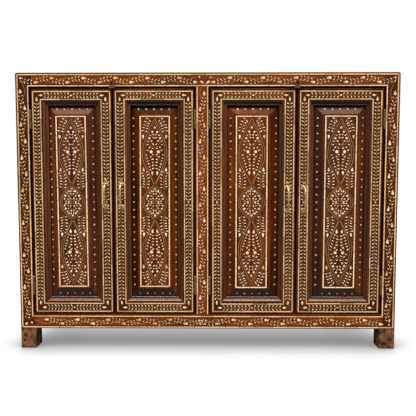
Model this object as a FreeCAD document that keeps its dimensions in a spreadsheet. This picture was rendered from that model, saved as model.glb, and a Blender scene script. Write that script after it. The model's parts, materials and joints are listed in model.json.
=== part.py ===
import FreeCAD, Part
import math
import os
from types import SimpleNamespace
import Sketcher

# Bone inlay sideboard: a joined rosewood cabinet on four posts that run down as legs.
# Two pairs of panelled doors hang on butt hinges and are kept shut by two wooden turn buttons.
# Lengths are millimetres. X runs to the right seen from the front, the front faces -Y and the
# feet stand on Z = 0. The origin is under the middle of the cabinet, handles included.

doc = FreeCAD.newDocument("BoneInlaySideboard")
sheet = doc.addObject("Spreadsheet::Sheet", "Sizes")

driving_sizes = {
    # Case
    "case_width": 1320,
    "case_depth": 430,
    "case_height": 895,
    "leg_height": 72,
    "post_width": 52.5,
    "post_depth": 58,
    "left_post_face": 43,
    "right_post_face": 45,
    "left_opening_share": 0.4861228,
    "centre_stile_face": 43,
    "top_rail_face": 47.5,
    "bottom_rail_face": 51.5,
    "front_rail_thickness": 40,
    "stop_lip": 10,
    "side_setback": 4,
    "side_rail_thickness": 30,
    "side_panel_thickness": 12,
    "side_panel_inset": 4,
    "back_rail_thickness": 24,
    "back_plank_thickness": 12,
    "plank_gap": 0.4,
    "board_thickness": 18,
    "ledge_width": 12,
    "shelf_thickness": 20,
    "shelf_level": 505,
    "cleat_width": 20,
    "cleat_height": 26,
    # Joinery
    "tenon_length": 25,
    "tenon_thickness": 10,
    "tenon_shoulder": 9,
    "tenon_setback": 12,
    "groove_depth": 8,
    "fit_clearance": 0.2,
    "overrun": 5,
    # Bone stringing
    "string_width": 4.5,
    "string_depth": 2,
    "frame_string_margin": 2,
    "sill_string_margin": 5,
    "door_string_margin": 4,
    "string_quirk": 1,
    "field_string_margin": 5,
    # Doors
    "door_thickness": 24,
    "door_setback": 2,
    "door_back_clearance": 0.5,
    "hinge_gap": 7.5,
    "meeting_gap": 7,
    "door_top_gap": 6.5,
    "door_bottom_gap": 4,
    "door_frame_width": 39,
    "moulding_width": 18,
    "moulding_setback": 1,
    "moulding_slope": 9,
    "panel_recess": 14,
    "panel_tongue": 6,
    "field_recess": 3,
    "field_step": 1.5,
    "left_field_share": 0.7043,
    "right_field_share": 0.6704,
    "field_height_share": 0.9093,
    # Butt hinges
    "hinge_length": 63.5,
    "upper_hinge_inset": 106,
    "lower_hinge_inset": 98.5,
    "leaf_thickness": 1.5,
    "leaf_depth": 22,
    "knuckle_clearance": 0.25,
    "knuckle_gap": 0.3,
    "pin_radius": 1.5,
    "pin_clearance": 0.05,
    "screw_radius": 1.6,
    "screw_length": 14,
    "screw_head_radius": 2.8,
    "screw_head_depth": 0.9,
    "screw_spacing": 21,
    # Brass pulls
    "pull_length": 115,
    "pull_plate_width": 21,
    "pull_plate_length": 23,
    "pull_plate_thickness": 2.5,
    "pull_projection": 29,
    "pull_bar_radius": 3.5,
    "pull_bend_radius": 13,
    "pull_piercing_radius": 2,
    "left_pull_drop": 368.5,
    "right_pull_drop": 380,
    "left_pull_inset": 24,
    "right_pull_inset": 25.5,
    # Turn buttons
    "button_pivot_drop": 36,
    "button_door_clearance": 0.4,
    "button_round": 8,
    "button_end_width": 18.6,
    "button_thickness": 7,
    "button_gap": 0.3,
    "pivot_radius": 2.5,
    "pivot_clearance": 0.05,
    "pivot_head_radius": 4.2,
    "pivot_head_thickness": 1.5,
    "pivot_depth": 20,
}

KNUCKLES = 5
SCREWS_PER_LEAF = 3
BACK_PLANKS = 7
BOARD_PLANKS = 3


class Size:
    """A length worked out from the sheet, kept as the expression that binds a property to it."""

    def __init__(self, text):
        self.text = text

    def __add__(self, other):
        return Size(f"({self.text} + {expression(other)})")

    def __radd__(self, other):
        return Size(f"({expression(other)} + {self.text})")

    def __sub__(self, other):
        return Size(f"({self.text} - {expression(other)})")

    def __rsub__(self, other):
        return Size(f"({expression(other)} - {self.text})")

    def __mul__(self, other):
        return Size(f"({self.text} * {expression(other)})")

    def __rmul__(self, other):
        return Size(f"({expression(other)} * {self.text})")

    def __truediv__(self, other):
        return Size(f"({self.text} / {expression(other)})")

    def __neg__(self):
        return Size(f"(0 - {self.text})")


def expression(size):
    """The expression text of a worked out size or of a plain number."""
    return size.text if isinstance(size, Size) else str(size)


ZERO = Size("0")

for row, (name, value) in enumerate(driving_sizes.items(), start=1):
    sheet.set(f"A{row}", name)
    sheet.set(f"B{row}", str(value))
    sheet.setAlias(f"B{row}", name)
doc.recompute()

s = SimpleNamespace(**{name: Size(f"Sizes.{name}") for name in driving_sizes})
nodes = {}

ALONG_X = FreeCAD.Rotation(FreeCAD.Vector(0, 1, 0), 90)
ALONG_Y = FreeCAD.Rotation(FreeCAD.Vector(1, 0, 0), -90)
ALONG_Z = FreeCAD.Rotation()
UPRIGHT_STRIP = FreeCAD.Rotation(FreeCAD.Vector(1, 1, 1), 240)
LEVEL_STRIP = FreeCAD.Rotation(FreeCAD.Vector(1, 0, 0), 90)


def bind(feature, **sizes):
    """Binds properties of a feature to worked out sizes."""
    for prop, size in sizes.items():
        feature.setExpression(prop, expression(size))
    return feature


def place(feature, at, rotation=ALONG_Z):
    """Turns a feature and binds its place."""
    feature.Placement = FreeCAD.Placement(FreeCAD.Vector(), rotation)
    for axis, size in zip("xyz", at):
        feature.setExpression(f"Placement.Base.{axis}", expression(size))
    return feature


def block(x, y, z):
    """A squared piece of wood, metal or bone, given by its low and high faces."""
    feature = doc.addObject("Part::Box", "Block")
    bind(feature, Length=x[1] - x[0], Width=y[1] - y[0], Height=z[1] - z[0])
    return place(feature, (x[0], y[0], z[0]))


def rod(radius, length, at, rotation):
    """A round bar that starts at a point and runs along one axis."""
    feature = doc.addObject("Part::Cylinder", "Rod")
    bind(feature, Radius=radius, Height=length)
    return place(feature, at, rotation)


def cut(base, *tools):
    """Takes each tool out of the base in turn."""
    for tool in tools:
        feature = doc.addObject("Part::Cut", "Cut")
        feature.Base = base
        feature.Tool = tool
        base = feature
    return base


def fuse(*pieces):
    """Joins overlapping pieces into one solid."""
    feature = doc.addObject("Part::MultiFuse", "Fuse")
    feature.Shapes = list(pieces)
    feature.Refine = True
    return feature


def group(*pieces):
    """Keeps separate solids together under one name."""
    feature = doc.addObject("Part::Compound", "Group")
    feature.Links = list(pieces)
    return feature


def node(name, feature):
    """Names a finished sub-part."""
    feature.Label = name
    nodes[name] = feature
    return feature


# Main planes of the case

floor = ZERO
left_side = -s.case_width / 2
right_side = s.case_width / 2
front = (s.pull_projection - s.door_setback - s.case_depth) / 2
back = front + s.case_depth
case_bottom = s.leg_height
case_top = s.leg_height + s.case_height

left_post_inside = left_side + s.post_width
right_post_inside = right_side - s.post_width
front_post_back = front + s.post_depth
back_post_front = back - s.post_depth
rail_back = front + s.front_rail_thickness

rebate_depth = s.door_setback + s.door_thickness + s.door_back_clearance
stop_face = front + rebate_depth
opening_bottom = case_bottom + s.bottom_rail_face
opening_top = case_top - s.top_rail_face
openings_width = s.case_width - s.left_post_face - s.right_post_face - s.centre_stile_face
left_opening = openings_width * s.left_opening_share
left_opening_x = (left_side + s.left_post_face, left_side + s.left_post_face + left_opening)
right_opening_x = (left_opening_x[1] + s.centre_stile_face, right_side - s.right_post_face)
openings_x = (left_opening_x, right_opening_x)

front_past = front - s.overrun
back_past = back + s.overrun


def string_rectangle(x, z, face):
    """Four bone strips let into a face, laid inside the given outer edges."""
    depth = (face, face + s.string_depth)
    inner_x = (x[0] + s.string_width, x[1] - s.string_width)
    return [
        block((x[0], inner_x[0]), depth, z),
        block((inner_x[1], x[1]), depth, z),
        block(inner_x, depth, (z[0], z[0] + s.string_width)),
        block(inner_x, depth, (z[1] - s.string_width, z[1])),
    ]


# Bone stringing of the front frame: a rectangle round the case, one round both openings,
# and a strip down each edge of the centre stile

edge = s.frame_string_margin
reach = s.frame_string_margin + s.string_width
stile_x = (left_opening_x[1], right_opening_x[0])
frame_strips = string_rectangle(
    (left_side + edge, right_side - edge),
    (case_bottom + s.sill_string_margin, case_top - edge),
    front,
)
frame_strips += string_rectangle(
    (left_opening_x[0] - reach, right_opening_x[1] + reach),
    (opening_bottom - reach, opening_top + reach),
    front,
)
for strip_x in ((stile_x[0] + edge, stile_x[0] + reach), (stile_x[1] - reach, stile_x[1] - edge)):
    frame_strips.append(block(strip_x, (front, front + s.string_depth), (opening_bottom, opening_top)))
frame_stringing = node("frame_stringing", group(*frame_strips))


# Tenons: each is one block, and its mortise is the same block grown by the fit clearance

def grown(pair):
    return (pair[0] - s.fit_clearance, pair[1] + s.fit_clearance)


def shrunk(pair):
    return (pair[0] + s.fit_clearance, pair[1] - s.fit_clearance)


def mortise(x, y, z):
    return block(grown(x), grown(y), grown(z))


front_tenon_y = (front + s.tenon_setback, front + s.tenon_setback + s.tenon_thickness)
back_rail_y = (back - s.back_plank_thickness - s.back_rail_thickness, back - s.back_plank_thickness)
back_tenon_y = (back_rail_y[1] - s.tenon_setback - s.tenon_thickness, back_rail_y[1] - s.tenon_setback)
top_tenon_z = (opening_top + s.tenon_shoulder, case_top - s.board_thickness - s.tenon_shoulder)
bottom_tenon_z = (case_bottom + s.tenon_shoulder, opening_bottom - s.board_thickness - s.tenon_shoulder)
rail_tenons_z = (top_tenon_z, bottom_tenon_z)

left_tenon_x = (left_post_inside - s.tenon_length, left_post_inside)
right_tenon_x = (right_post_inside, right_post_inside + s.tenon_length)
front_side_tenon_y = (front_post_back - s.tenon_length, front_post_back)
back_side_tenon_y = (back_post_front, back_post_front + s.tenon_length)

left_rail_face = left_side + s.side_setback
right_rail_face = right_side - s.side_setback
side_rails_x = (
    (left_rail_face, left_rail_face + s.side_rail_thickness),
    (right_rail_face - s.side_rail_thickness, right_rail_face),
)
left_panel_face = left_rail_face + s.side_panel_inset
right_panel_face = right_rail_face - s.side_panel_inset
side_panels_x = (
    (left_panel_face, left_panel_face + s.side_panel_thickness),
    (right_panel_face - s.side_panel_thickness, right_panel_face),
)


def middle_of(pair, thickness):
    """A thickness centred between two faces."""
    middle = (pair[0] + pair[1]) / 2
    return (middle - thickness / 2, middle + thickness / 2)


# The side panels stand in grooves of the posts and side rails

panel_groove_y = (front_post_back - s.groove_depth, back_post_front + s.groove_depth)
panel_groove_z = (opening_bottom - s.groove_depth, opening_top + s.groove_depth)

panel_grooves = [block(grown(panel_x), panel_groove_y, panel_groove_z) for panel_x in side_panels_x]
for side, panel_x in zip(("left", "right"), side_panels_x):
    node(f"{side}_side_panel", block(panel_x, shrunk(panel_groove_y), shrunk(panel_groove_z)))


def side_tenon_x(rail_x):
    return middle_of(rail_x, s.tenon_thickness)


# Turn button pivots: a black pin with a round head for each pair of doors

door_bottom = opening_bottom + s.door_bottom_gap
door_top = opening_top - s.door_top_gap
door_z = (door_bottom, door_top)
button_pivot_z = case_top - s.button_pivot_drop
button_back = front - s.button_gap
button_front = button_back - s.button_thickness
pivot_head_back = button_front - s.button_gap
button_pivots_x = [(opening[0] + opening[1]) / 2 for opening in openings_x]


def pivot_pin(x):
    stem_length = front + s.pivot_depth - pivot_head_back
    stem = rod(s.pivot_radius, stem_length, (x, pivot_head_back, button_pivot_z), ALONG_Y)
    head_front = pivot_head_back - s.pivot_head_thickness
    head = rod(s.pivot_head_radius, s.pivot_head_thickness, (x, head_front, button_pivot_z), ALONG_Y)
    return fuse(stem, head)


button_pivots = node("button_pivots", group(*[pivot_pin(x) for x in button_pivots_x]))


# Turn buttons: wooden paddles, round at the pivot and flared to a square end over the door tops

button_reach = s.top_rail_face + s.door_top_gap - s.button_pivot_drop - s.button_door_clearance


def origin_plane(body, role):
    return next(plane for plane in body.Origin.OriginFeatures if plane.Role == role)


def turn_button(name, x):
    body = doc.addObject("PartDesign::Body", name)
    sketch = body.newObject("Sketcher::SketchObject", f"{name}_outline")
    sketch.AttachmentSupport = [(origin_plane(body, "XZ_Plane"), "")]
    sketch.MapMode = "FlatFace"
    rounding = driving_sizes["button_round"]
    half_end = driving_sizes["button_end_width"] / 2
    vector = FreeCAD.Vector
    start_right = vector(rounding, 0, 0)
    start_left = vector(-rounding, 0, 0)
    end_right = vector(half_end, -2 * rounding, 0)
    end_left = vector(-half_end, -2 * rounding, 0)
    circle = Part.Circle(vector(), vector(0, 0, 1), rounding)
    top = sketch.addGeometry(Part.ArcOfCircle(circle, 0, math.pi))
    left_edge = sketch.addGeometry(Part.LineSegment(start_left, end_left))
    end_edge = sketch.addGeometry(Part.LineSegment(end_left, end_right))
    right_edge = sketch.addGeometry(Part.LineSegment(end_right, start_right))
    hole = sketch.addGeometry(Part.Circle(vector(), vector(0, 0, 1), driving_sizes["pivot_radius"]))
    constraint = Sketcher.Constraint
    sketch.addConstraint([
        constraint("Coincident", top, 3, -1, 1),
        constraint("Coincident", hole, 3, -1, 1),
        constraint("Coincident", top, 2, left_edge, 1),
        constraint("Coincident", left_edge, 2, end_edge, 1),
        constraint("Coincident", end_edge, 2, right_edge, 1),
        constraint("Coincident", right_edge, 2, top, 1),
        constraint("PointOnObject", top, 1, -1),
        constraint("PointOnObject", top, 2, -1),
        constraint("Symmetric", end_edge, 1, end_edge, 2, -2),
    ])
    round_radius = sketch.addConstraint(constraint("Radius", top, rounding))
    hole_radius = sketch.addConstraint(constraint("Radius", hole, driving_sizes["pivot_radius"]))
    end_width = sketch.addConstraint(constraint("DistanceX", end_edge, 1, end_edge, 2, 2 * half_end))
    end_drop = sketch.addConstraint(constraint("DistanceY", end_edge, 1, -1, 1, 2 * rounding))
    bind(sketch, **{
        f"Constraints[{round_radius}]": s.button_round,
        f"Constraints[{hole_radius}]": s.pivot_radius + s.pivot_clearance,
        f"Constraints[{end_width}]": s.button_end_width,
        f"Constraints[{end_drop}]": button_reach,
    })
    pad = body.newObject("PartDesign::Pad", f"{name}_thickness")
    pad.Profile = sketch
    bind(pad, Length=s.button_thickness)
    body.Tip = pad
    return place(body, (x, button_back, button_pivot_z))


for side, x in zip(("left", "right"), button_pivots_x):
    node(f"{side}_turn_button", turn_button(f"{side}_turn_button", x))


# Butt hinges: the axis stands in the gap beside the door, in the plane of the frame's face

hinge_axis_y = front
barrel_radius = s.hinge_gap / 2 - s.knuckle_clearance
plate_start = hinge_axis_y + barrel_radius + s.knuckle_gap
plate_y = (plate_start, hinge_axis_y + s.leaf_depth)
knuckle_pitch = (s.hinge_length + s.knuckle_gap) / KNUCKLES
FRAME_KNUCKLES = range(0, KNUCKLES, 2)
DOOR_KNUCKLES = range(1, KNUCKLES, 2)


def towards_door(axis_x, side, low, high):
    """Two places measured from a hinge axis towards its door, in rising order of X."""
    if side > 0:
        return (axis_x + low, axis_x + high)
    return (axis_x - high, axis_x - low)


def hinge_z(centre_z):
    return (centre_z - s.hinge_length / 2, centre_z + s.hinge_length / 2)


def leaf_blank(axis_x, side, centre_z, leaf_span, knuckles):
    """One leaf with its rolled knuckles, bored for the pin."""
    leaf_x = towards_door(axis_x, side, *leaf_span)
    low, high = hinge_z(centre_z)
    pieces = [block(leaf_x, plate_y, (low, high))]
    for knuckle in knuckles:
        start = low + knuckle_pitch * knuckle
        stop = start + knuckle_pitch - s.knuckle_gap
        pieces.append(block(leaf_x, (hinge_axis_y, plate_start), (start, stop)))
        pieces.append(rod(barrel_radius, stop - start, (axis_x, hinge_axis_y, start), ALONG_Z))
    bore_length = s.hinge_length + 2 * s.overrun
    bore = rod(s.pin_radius + s.pin_clearance, bore_length, (axis_x, hinge_axis_y, low - s.overrun), ALONG_Z)
    return cut(fuse(*pieces), bore)


def leaf_screws(axis_x, side, centre_z, face, inward):
    """Countersunk screws through a leaf: face is its bare side and inward points into the wood."""
    middle_y = (plate_y[0] + plate_y[1]) / 2
    screws = []
    for index in range(SCREWS_PER_LEAF):
        z = centre_z + s.screw_spacing * (index - (SCREWS_PER_LEAF - 1) / 2)
        head_x = towards_door(axis_x, side, *sorted_span(face, s.screw_head_depth, inward))
        stem_x = towards_door(axis_x, side, *sorted_span(face, s.screw_length, inward))
        head = rod(s.screw_head_radius, head_x[1] - head_x[0], (head_x[0], middle_y, z), ALONG_X)
        stem = rod(s.screw_radius, stem_x[1] - stem_x[0], (stem_x[0], middle_y, z), ALONG_X)
        screws.append(fuse(head, stem))
    return screws


def sorted_span(face, length, inward):
    """The stretch from a face, of a length, on the side that inward points to."""
    if inward > 0:
        return (face, face + length)
    return (face - length, face)


frame_leaf_span = (-s.hinge_gap / 2, s.leaf_thickness - s.hinge_gap / 2)
door_leaf_span = (s.hinge_gap / 2 - s.leaf_thickness, s.hinge_gap / 2)

left_door_width = (left_opening - 2 * s.hinge_gap - s.meeting_gap) / 2
right_opening = right_opening_x[1] - right_opening_x[0]
right_door_width = (right_opening - 2 * s.hinge_gap - s.meeting_gap) / 2
hinge_centres_z = (door_bottom + s.lower_hinge_inset, door_top - s.upper_hinge_inset)


def door_plan(opening, width, field_share, pull_place, hinged_left):
    """Where one door stands and how it hangs; its pull is placed in from the lock edge and down from the top."""
    pull_inset, pull_drop = pull_place
    if hinged_left:
        left_edge = opening[0] + s.hinge_gap
        axis_x = opening[0] + s.hinge_gap / 2
    else:
        left_edge = opening[1] - s.hinge_gap - width
        axis_x = opening[1] - s.hinge_gap / 2
    return SimpleNamespace(
        x=(left_edge, left_edge + width),
        axis_x=axis_x,
        side=1 if hinged_left else -1,
        field_share=field_share,
        pull_inset=pull_inset,
        pull_z=door_top - pull_drop,
    )


left_pull_place = (s.left_pull_inset, s.left_pull_drop)
right_pull_place = (s.right_pull_inset, s.right_pull_drop)
doors = [
    door_plan(left_opening_x, left_door_width, s.left_field_share, left_pull_place, True),
    door_plan(left_opening_x, left_door_width, s.left_field_share, left_pull_place, False),
    door_plan(right_opening_x, right_door_width, s.right_field_share, right_pull_place, True),
    door_plan(right_opening_x, right_door_width, s.right_field_share, right_pull_place, False),
]

frame_leaves = []
frame_screws = []
pins = []
for door in doors:
    for centre_z in hinge_centres_z:
        screws = leaf_screws(door.axis_x, door.side, centre_z, frame_leaf_span[1], -1)
        blank = leaf_blank(door.axis_x, door.side, centre_z, frame_leaf_span, FRAME_KNUCKLES)
        frame_leaves.append(cut(blank, *screws))
        frame_screws += screws
        pin_start = (door.axis_x, hinge_axis_y, hinge_z(centre_z)[0])
        pins.append(rod(s.pin_radius, s.hinge_length, pin_start, ALONG_Z))
node("frame_hinge_leaves", group(*frame_leaves))
node("hinge_pins", group(*pins))
frame_screw_group = node("frame_screws", group(*frame_screws))


# Posts: squared timbers rebated for the doors at the front and grooved for the side panels

post_z = (floor, case_top)
front_post_y = (front, front_post_back)
back_post_y = (back_post_front, back)


def post_mortises(rail_tenon_x, rail_tenon_y, side_tenon_y, rail_x):
    cuts = []
    for tenon_z in rail_tenons_z:
        cuts.append(mortise(rail_tenon_x, rail_tenon_y, tenon_z))
        cuts.append(mortise(side_tenon_x(rail_x), side_tenon_y, tenon_z))
    return cuts


post_sides = (
    ("left", (left_side, left_post_inside), left_tenon_x, side_rails_x[0]),
    ("right", (right_post_inside, right_side), right_tenon_x, side_rails_x[1]),
)
door_rebates_x = (
    (left_opening_x[0], left_post_inside + s.overrun),
    (right_post_inside - s.overrun, right_opening_x[1]),
)
for (side, post_x, rail_tenon_x, rail_x), rebate_x, groove in zip(post_sides, door_rebates_x, panel_grooves):
    front_post = cut(
        block(post_x, front_post_y, post_z),
        block(rebate_x, (front_past, stop_face), (opening_bottom, opening_top)),
        groove,
        *post_mortises(rail_tenon_x, front_tenon_y, front_side_tenon_y, rail_x),
        frame_stringing,
        frame_screw_group,
    )
    node(f"front_{side}_post", front_post)
    back_post = cut(
        block(post_x, back_post_y, post_z),
        groove,
        *post_mortises(rail_tenon_x, back_tenon_y, back_side_tenon_y, rail_x),
    )
    node(f"back_{side}_post", back_post)


# Front rails and centre stile, all rebated behind the doors

rail_x = (left_post_inside, right_post_inside)
rail_y = (front, rail_back)
lip_y = (stop_face, rail_back)
board_front = rail_back - s.ledge_width
stile_tenon_x = (stile_x[0] + s.tenon_shoulder, stile_x[1] - s.tenon_shoulder)
stile_tenons_z = (
    (opening_bottom - s.tenon_length, opening_bottom),
    (opening_top, opening_top + s.tenon_length),
)

top_rail = fuse(
    block(rail_x, rail_y, (opening_top, case_top)),
    block(rail_x, lip_y, (opening_top - s.stop_lip, opening_top)),
    block(left_tenon_x, front_tenon_y, top_tenon_z),
    block(right_tenon_x, front_tenon_y, top_tenon_z),
)
top_board_z = (case_top - s.board_thickness, case_top)
top_rail_past = (rail_x[0] - s.overrun, rail_x[1] + s.overrun)
node("front_top_rail", cut(
    top_rail,
    block(top_rail_past, (board_front, rail_back + s.overrun), (top_board_z[0], case_top + s.overrun)),
    mortise(stile_tenon_x, front_tenon_y, stile_tenons_z[1]),
    frame_stringing,
    button_pivots,
))

bottom_rail = fuse(
    block(rail_x, rail_y, (case_bottom, opening_bottom)),
    block(rail_x, lip_y, (opening_bottom, opening_bottom + s.stop_lip)),
    block(left_tenon_x, front_tenon_y, bottom_tenon_z),
    block(right_tenon_x, front_tenon_y, bottom_tenon_z),
)
bottom_board_z = (opening_bottom - s.board_thickness, opening_bottom)
node("front_bottom_rail", cut(
    bottom_rail,
    block(top_rail_past, (board_front, rail_back + s.overrun), bottom_board_z),
    mortise(stile_tenon_x, front_tenon_y, stile_tenons_z[0]),
    frame_stringing,
))

stile_back_x = (stile_x[0] - s.stop_lip, stile_x[1] + s.stop_lip)
centre_stile = fuse(
    block(stile_x, rail_y, (opening_bottom + s.stop_lip, opening_top - s.stop_lip)),
    block(stile_x, (front, stop_face), (opening_bottom, opening_top)),
    block(stile_back_x, lip_y, (opening_bottom + s.stop_lip, opening_top - s.stop_lip)),
    *[block(stile_tenon_x, front_tenon_y, z) for z in stile_tenons_z],
)
node("centre_stile", cut(centre_stile, frame_stringing, frame_screw_group))


# Side and back rails carry the top, the bottom and the panels between the posts

top_rail_z = (opening_top, case_top)
bottom_rail_z = (case_bottom, opening_bottom)
side_rail_y = (front_post_back, back_post_front)
top_ledge_z = (top_board_z[0], case_top + s.overrun)
bottom_ledge_z = (bottom_board_z[0], opening_bottom + s.overrun)
levels = (
    (top_rail_z, top_tenon_z, top_ledge_z),
    (bottom_rail_z, bottom_tenon_z, bottom_ledge_z),
)
side_ledges_x = (
    (side_rails_x[0][1] - s.ledge_width, side_rails_x[0][1] + s.overrun),
    (side_rails_x[1][0] - s.overrun, side_rails_x[1][0] + s.ledge_width),
)
side_ledge_y = (front_post_back - s.tenon_length - s.overrun, back_post_front + s.tenon_length + s.overrun)

side_rails = []
for rail_across, ledge_x, groove in zip(side_rails_x, side_ledges_x, panel_grooves):
    tenon_x = side_tenon_x(rail_across)
    for rail_z, tenon_z, ledge_z in levels:
        rail = fuse(
            block(rail_across, side_rail_y, rail_z),
            block(tenon_x, front_side_tenon_y, tenon_z),
            block(tenon_x, back_side_tenon_y, tenon_z),
        )
        side_rails.append(cut(rail, block(ledge_x, side_ledge_y, ledge_z), groove))
node("side_rails", group(*side_rails))

back_ledge_y = (back_rail_y[0] - s.overrun, back_rail_y[0] + s.ledge_width)
back_ledge_x = (rail_x[0] - s.tenon_length - s.overrun, rail_x[1] + s.tenon_length + s.overrun)
back_rails = []
for rail_z, tenon_z, ledge_z in levels:
    rail = fuse(
        block(rail_x, back_rail_y, rail_z),
        block(left_tenon_x, back_tenon_y, tenon_z),
        block(right_tenon_x, back_tenon_y, tenon_z),
    )
    back_rails.append(cut(rail, block(back_ledge_x, back_ledge_y, ledge_z)))
node("back_rails", group(*back_rails))

back_planks_x = shrunk(rail_x)
back_plank_pitch = (back_planks_x[1] - back_planks_x[0] + s.plank_gap) / BACK_PLANKS
back_planks = []
for index in range(BACK_PLANKS):
    start = back_planks_x[0] + back_plank_pitch * index
    plank_x = (start, start + back_plank_pitch - s.plank_gap)
    back_planks.append(block(plank_x, (back_rail_y[1], back), (case_bottom, case_top)))
node("back_planks", group(*back_planks))


# Top and bottom boards: long planks let down onto the ledges and notched round the posts

boards_x = shrunk((side_ledges_x[0][0], side_ledges_x[1][1]))
boards_y = shrunk((board_front, back_ledge_y[1]))
board_pitch = (boards_y[1] - boards_y[0] + s.plank_gap) / BOARD_PLANKS
post_notches_x = (
    (left_side, left_post_inside + s.fit_clearance),
    (right_post_inside - s.fit_clearance, right_side),
)
post_notches_y = (
    (front, front_post_back + s.fit_clearance),
    (back_post_front - s.fit_clearance, back),
)


def boards(name, board_z):
    notch_z = (board_z[0] - s.overrun, board_z[1] + s.overrun)
    planks = []
    for index in range(BOARD_PLANKS):
        start = boards_y[0] + board_pitch * index
        plank = block(boards_x, (start, start + board_pitch - s.plank_gap), board_z)
        notches = [block(x, y, notch_z) for x in post_notches_x for y in post_notches_y]
        planks.append(cut(plank, *notches))
    return node(name, group(*planks))


boards("top_planks", top_board_z)
boards("bottom_planks", bottom_board_z)


# Shelf on cleats that stand between the posts against the side panels

shelf_x = shrunk((side_panels_x[0][1], side_panels_x[1][0]))
shelf_z = (s.shelf_level - s.shelf_thickness, s.shelf_level)
cleat_z = (shelf_z[0] - s.cleat_height, shelf_z[0])
node("shelf", block(shelf_x, shrunk(side_rail_y), shelf_z))
node("shelf_cleats", group(
    block((shelf_x[0] - s.fit_clearance, shelf_x[0] + s.cleat_width), side_rail_y, cleat_z),
    block((shelf_x[1] - s.cleat_width, shelf_x[1] + s.fit_clearance), side_rail_y, cleat_z),
))


# Doors: mortised frames round a fielded panel, with a sloped moulding mitred inside the frame

door_face = front + s.door_setback
door_y = (door_face, door_face + s.door_thickness)
plate_face = door_face + s.panel_recess
plate_back = plate_face + s.panel_tongue
door_tenon_y = (plate_face, plate_back)
frame_z = (door_bottom + s.door_frame_width, door_top - s.door_frame_width)


def moulding_strip(feature_place, rotation, run, outer_first, flip_depth):
    """A mitred strip whose face slopes from its outer to its inner edge."""
    thickness = s.panel_recess - s.moulding_setback
    thin = thickness - s.moulding_slope
    width = s.moulding_width
    feature = doc.addObject("Part::Wedge", "Strip")
    full_depth = (ZERO, thickness)
    thin_depth = (ZERO, thin) if flip_depth else (thickness - thin, thickness)
    full_run = (ZERO, run)
    short_run = (width, run - width)
    first, second = (full_run, full_depth), (short_run, thin_depth)
    if not outer_first:
        first, second = second, first
    bind(feature, Xmin=first[0][0], Xmax=first[0][1], Zmin=first[1][0], Zmax=first[1][1])
    bind(feature, X2min=second[0][0], X2max=second[0][1], Z2min=second[1][0], Z2max=second[1][1])
    bind(feature, Ymin=ZERO, Ymax=width)
    return place(feature, feature_place, rotation)


def moulding(x, z):
    """Four strips planted on the edge of the panel, inside the door frame."""
    strip_face = door_face + s.moulding_setback
    run_z = z[1] - z[0]
    run_x = x[1] - x[0]
    return group(
        moulding_strip((x[0], strip_face, z[0]), UPRIGHT_STRIP, run_z, True, False),
        moulding_strip((x[1] - s.moulding_width, strip_face, z[0]), UPRIGHT_STRIP, run_z, False, False),
        moulding_strip((x[0], plate_face, z[0]), LEVEL_STRIP, run_x, True, True),
        moulding_strip((x[0], plate_face, z[1] - s.moulding_width), LEVEL_STRIP, run_x, False, True),
    )


def fielded_panel(frame_x, field_x, field_z):
    """A board thinned to a tongue at its edge, with sloped margins up to a raised field."""
    tongue_x = shrunk((frame_x[0] - s.groove_depth, frame_x[1] + s.groove_depth))
    tongue_z = shrunk((frame_z[0] - s.groove_depth, frame_z[1] + s.groove_depth))
    slope_x = shrunk((frame_x[0] + s.moulding_width, frame_x[1] - s.moulding_width))
    slope_z = shrunk((frame_z[0] + s.moulding_width, frame_z[1] - s.moulding_width))
    field_face = door_face + s.field_recess
    slope_face = field_face + s.field_step
    slope = doc.addObject("Part::Wedge", "Slope")
    bind(slope, Ymin=slope_face, Ymax=plate_face)
    bind(slope, Xmin=field_x[0], Xmax=field_x[1], Zmin=field_z[0], Zmax=field_z[1])
    bind(slope, X2min=slope_x[0], X2max=slope_x[1], Z2min=slope_z[0], Z2max=slope_z[1])
    return fuse(
        block(tongue_x, (plate_face, plate_back), tongue_z),
        slope,
        block(field_x, (field_face, slope_face), field_z),
    )


# Brass pulls: two pierced trefoil plates joined by a bowed bar.
# Each bend is a quarter ring made in its own XY plane, turned to bow forward at its end of the bar.

UP = FreeCAD.Vector(0, 0, 1)
FORWARD = FreeCAD.Vector(0, -1, 0)
ACROSS = FreeCAD.Vector(1, 0, 0)
BEND_UP = FreeCAD.Rotation(UP, FORWARD, ACROSS, "ZXY")
BEND_DOWN = FreeCAD.Rotation(FORWARD, -UP, ACROSS, "ZXY")


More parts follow.
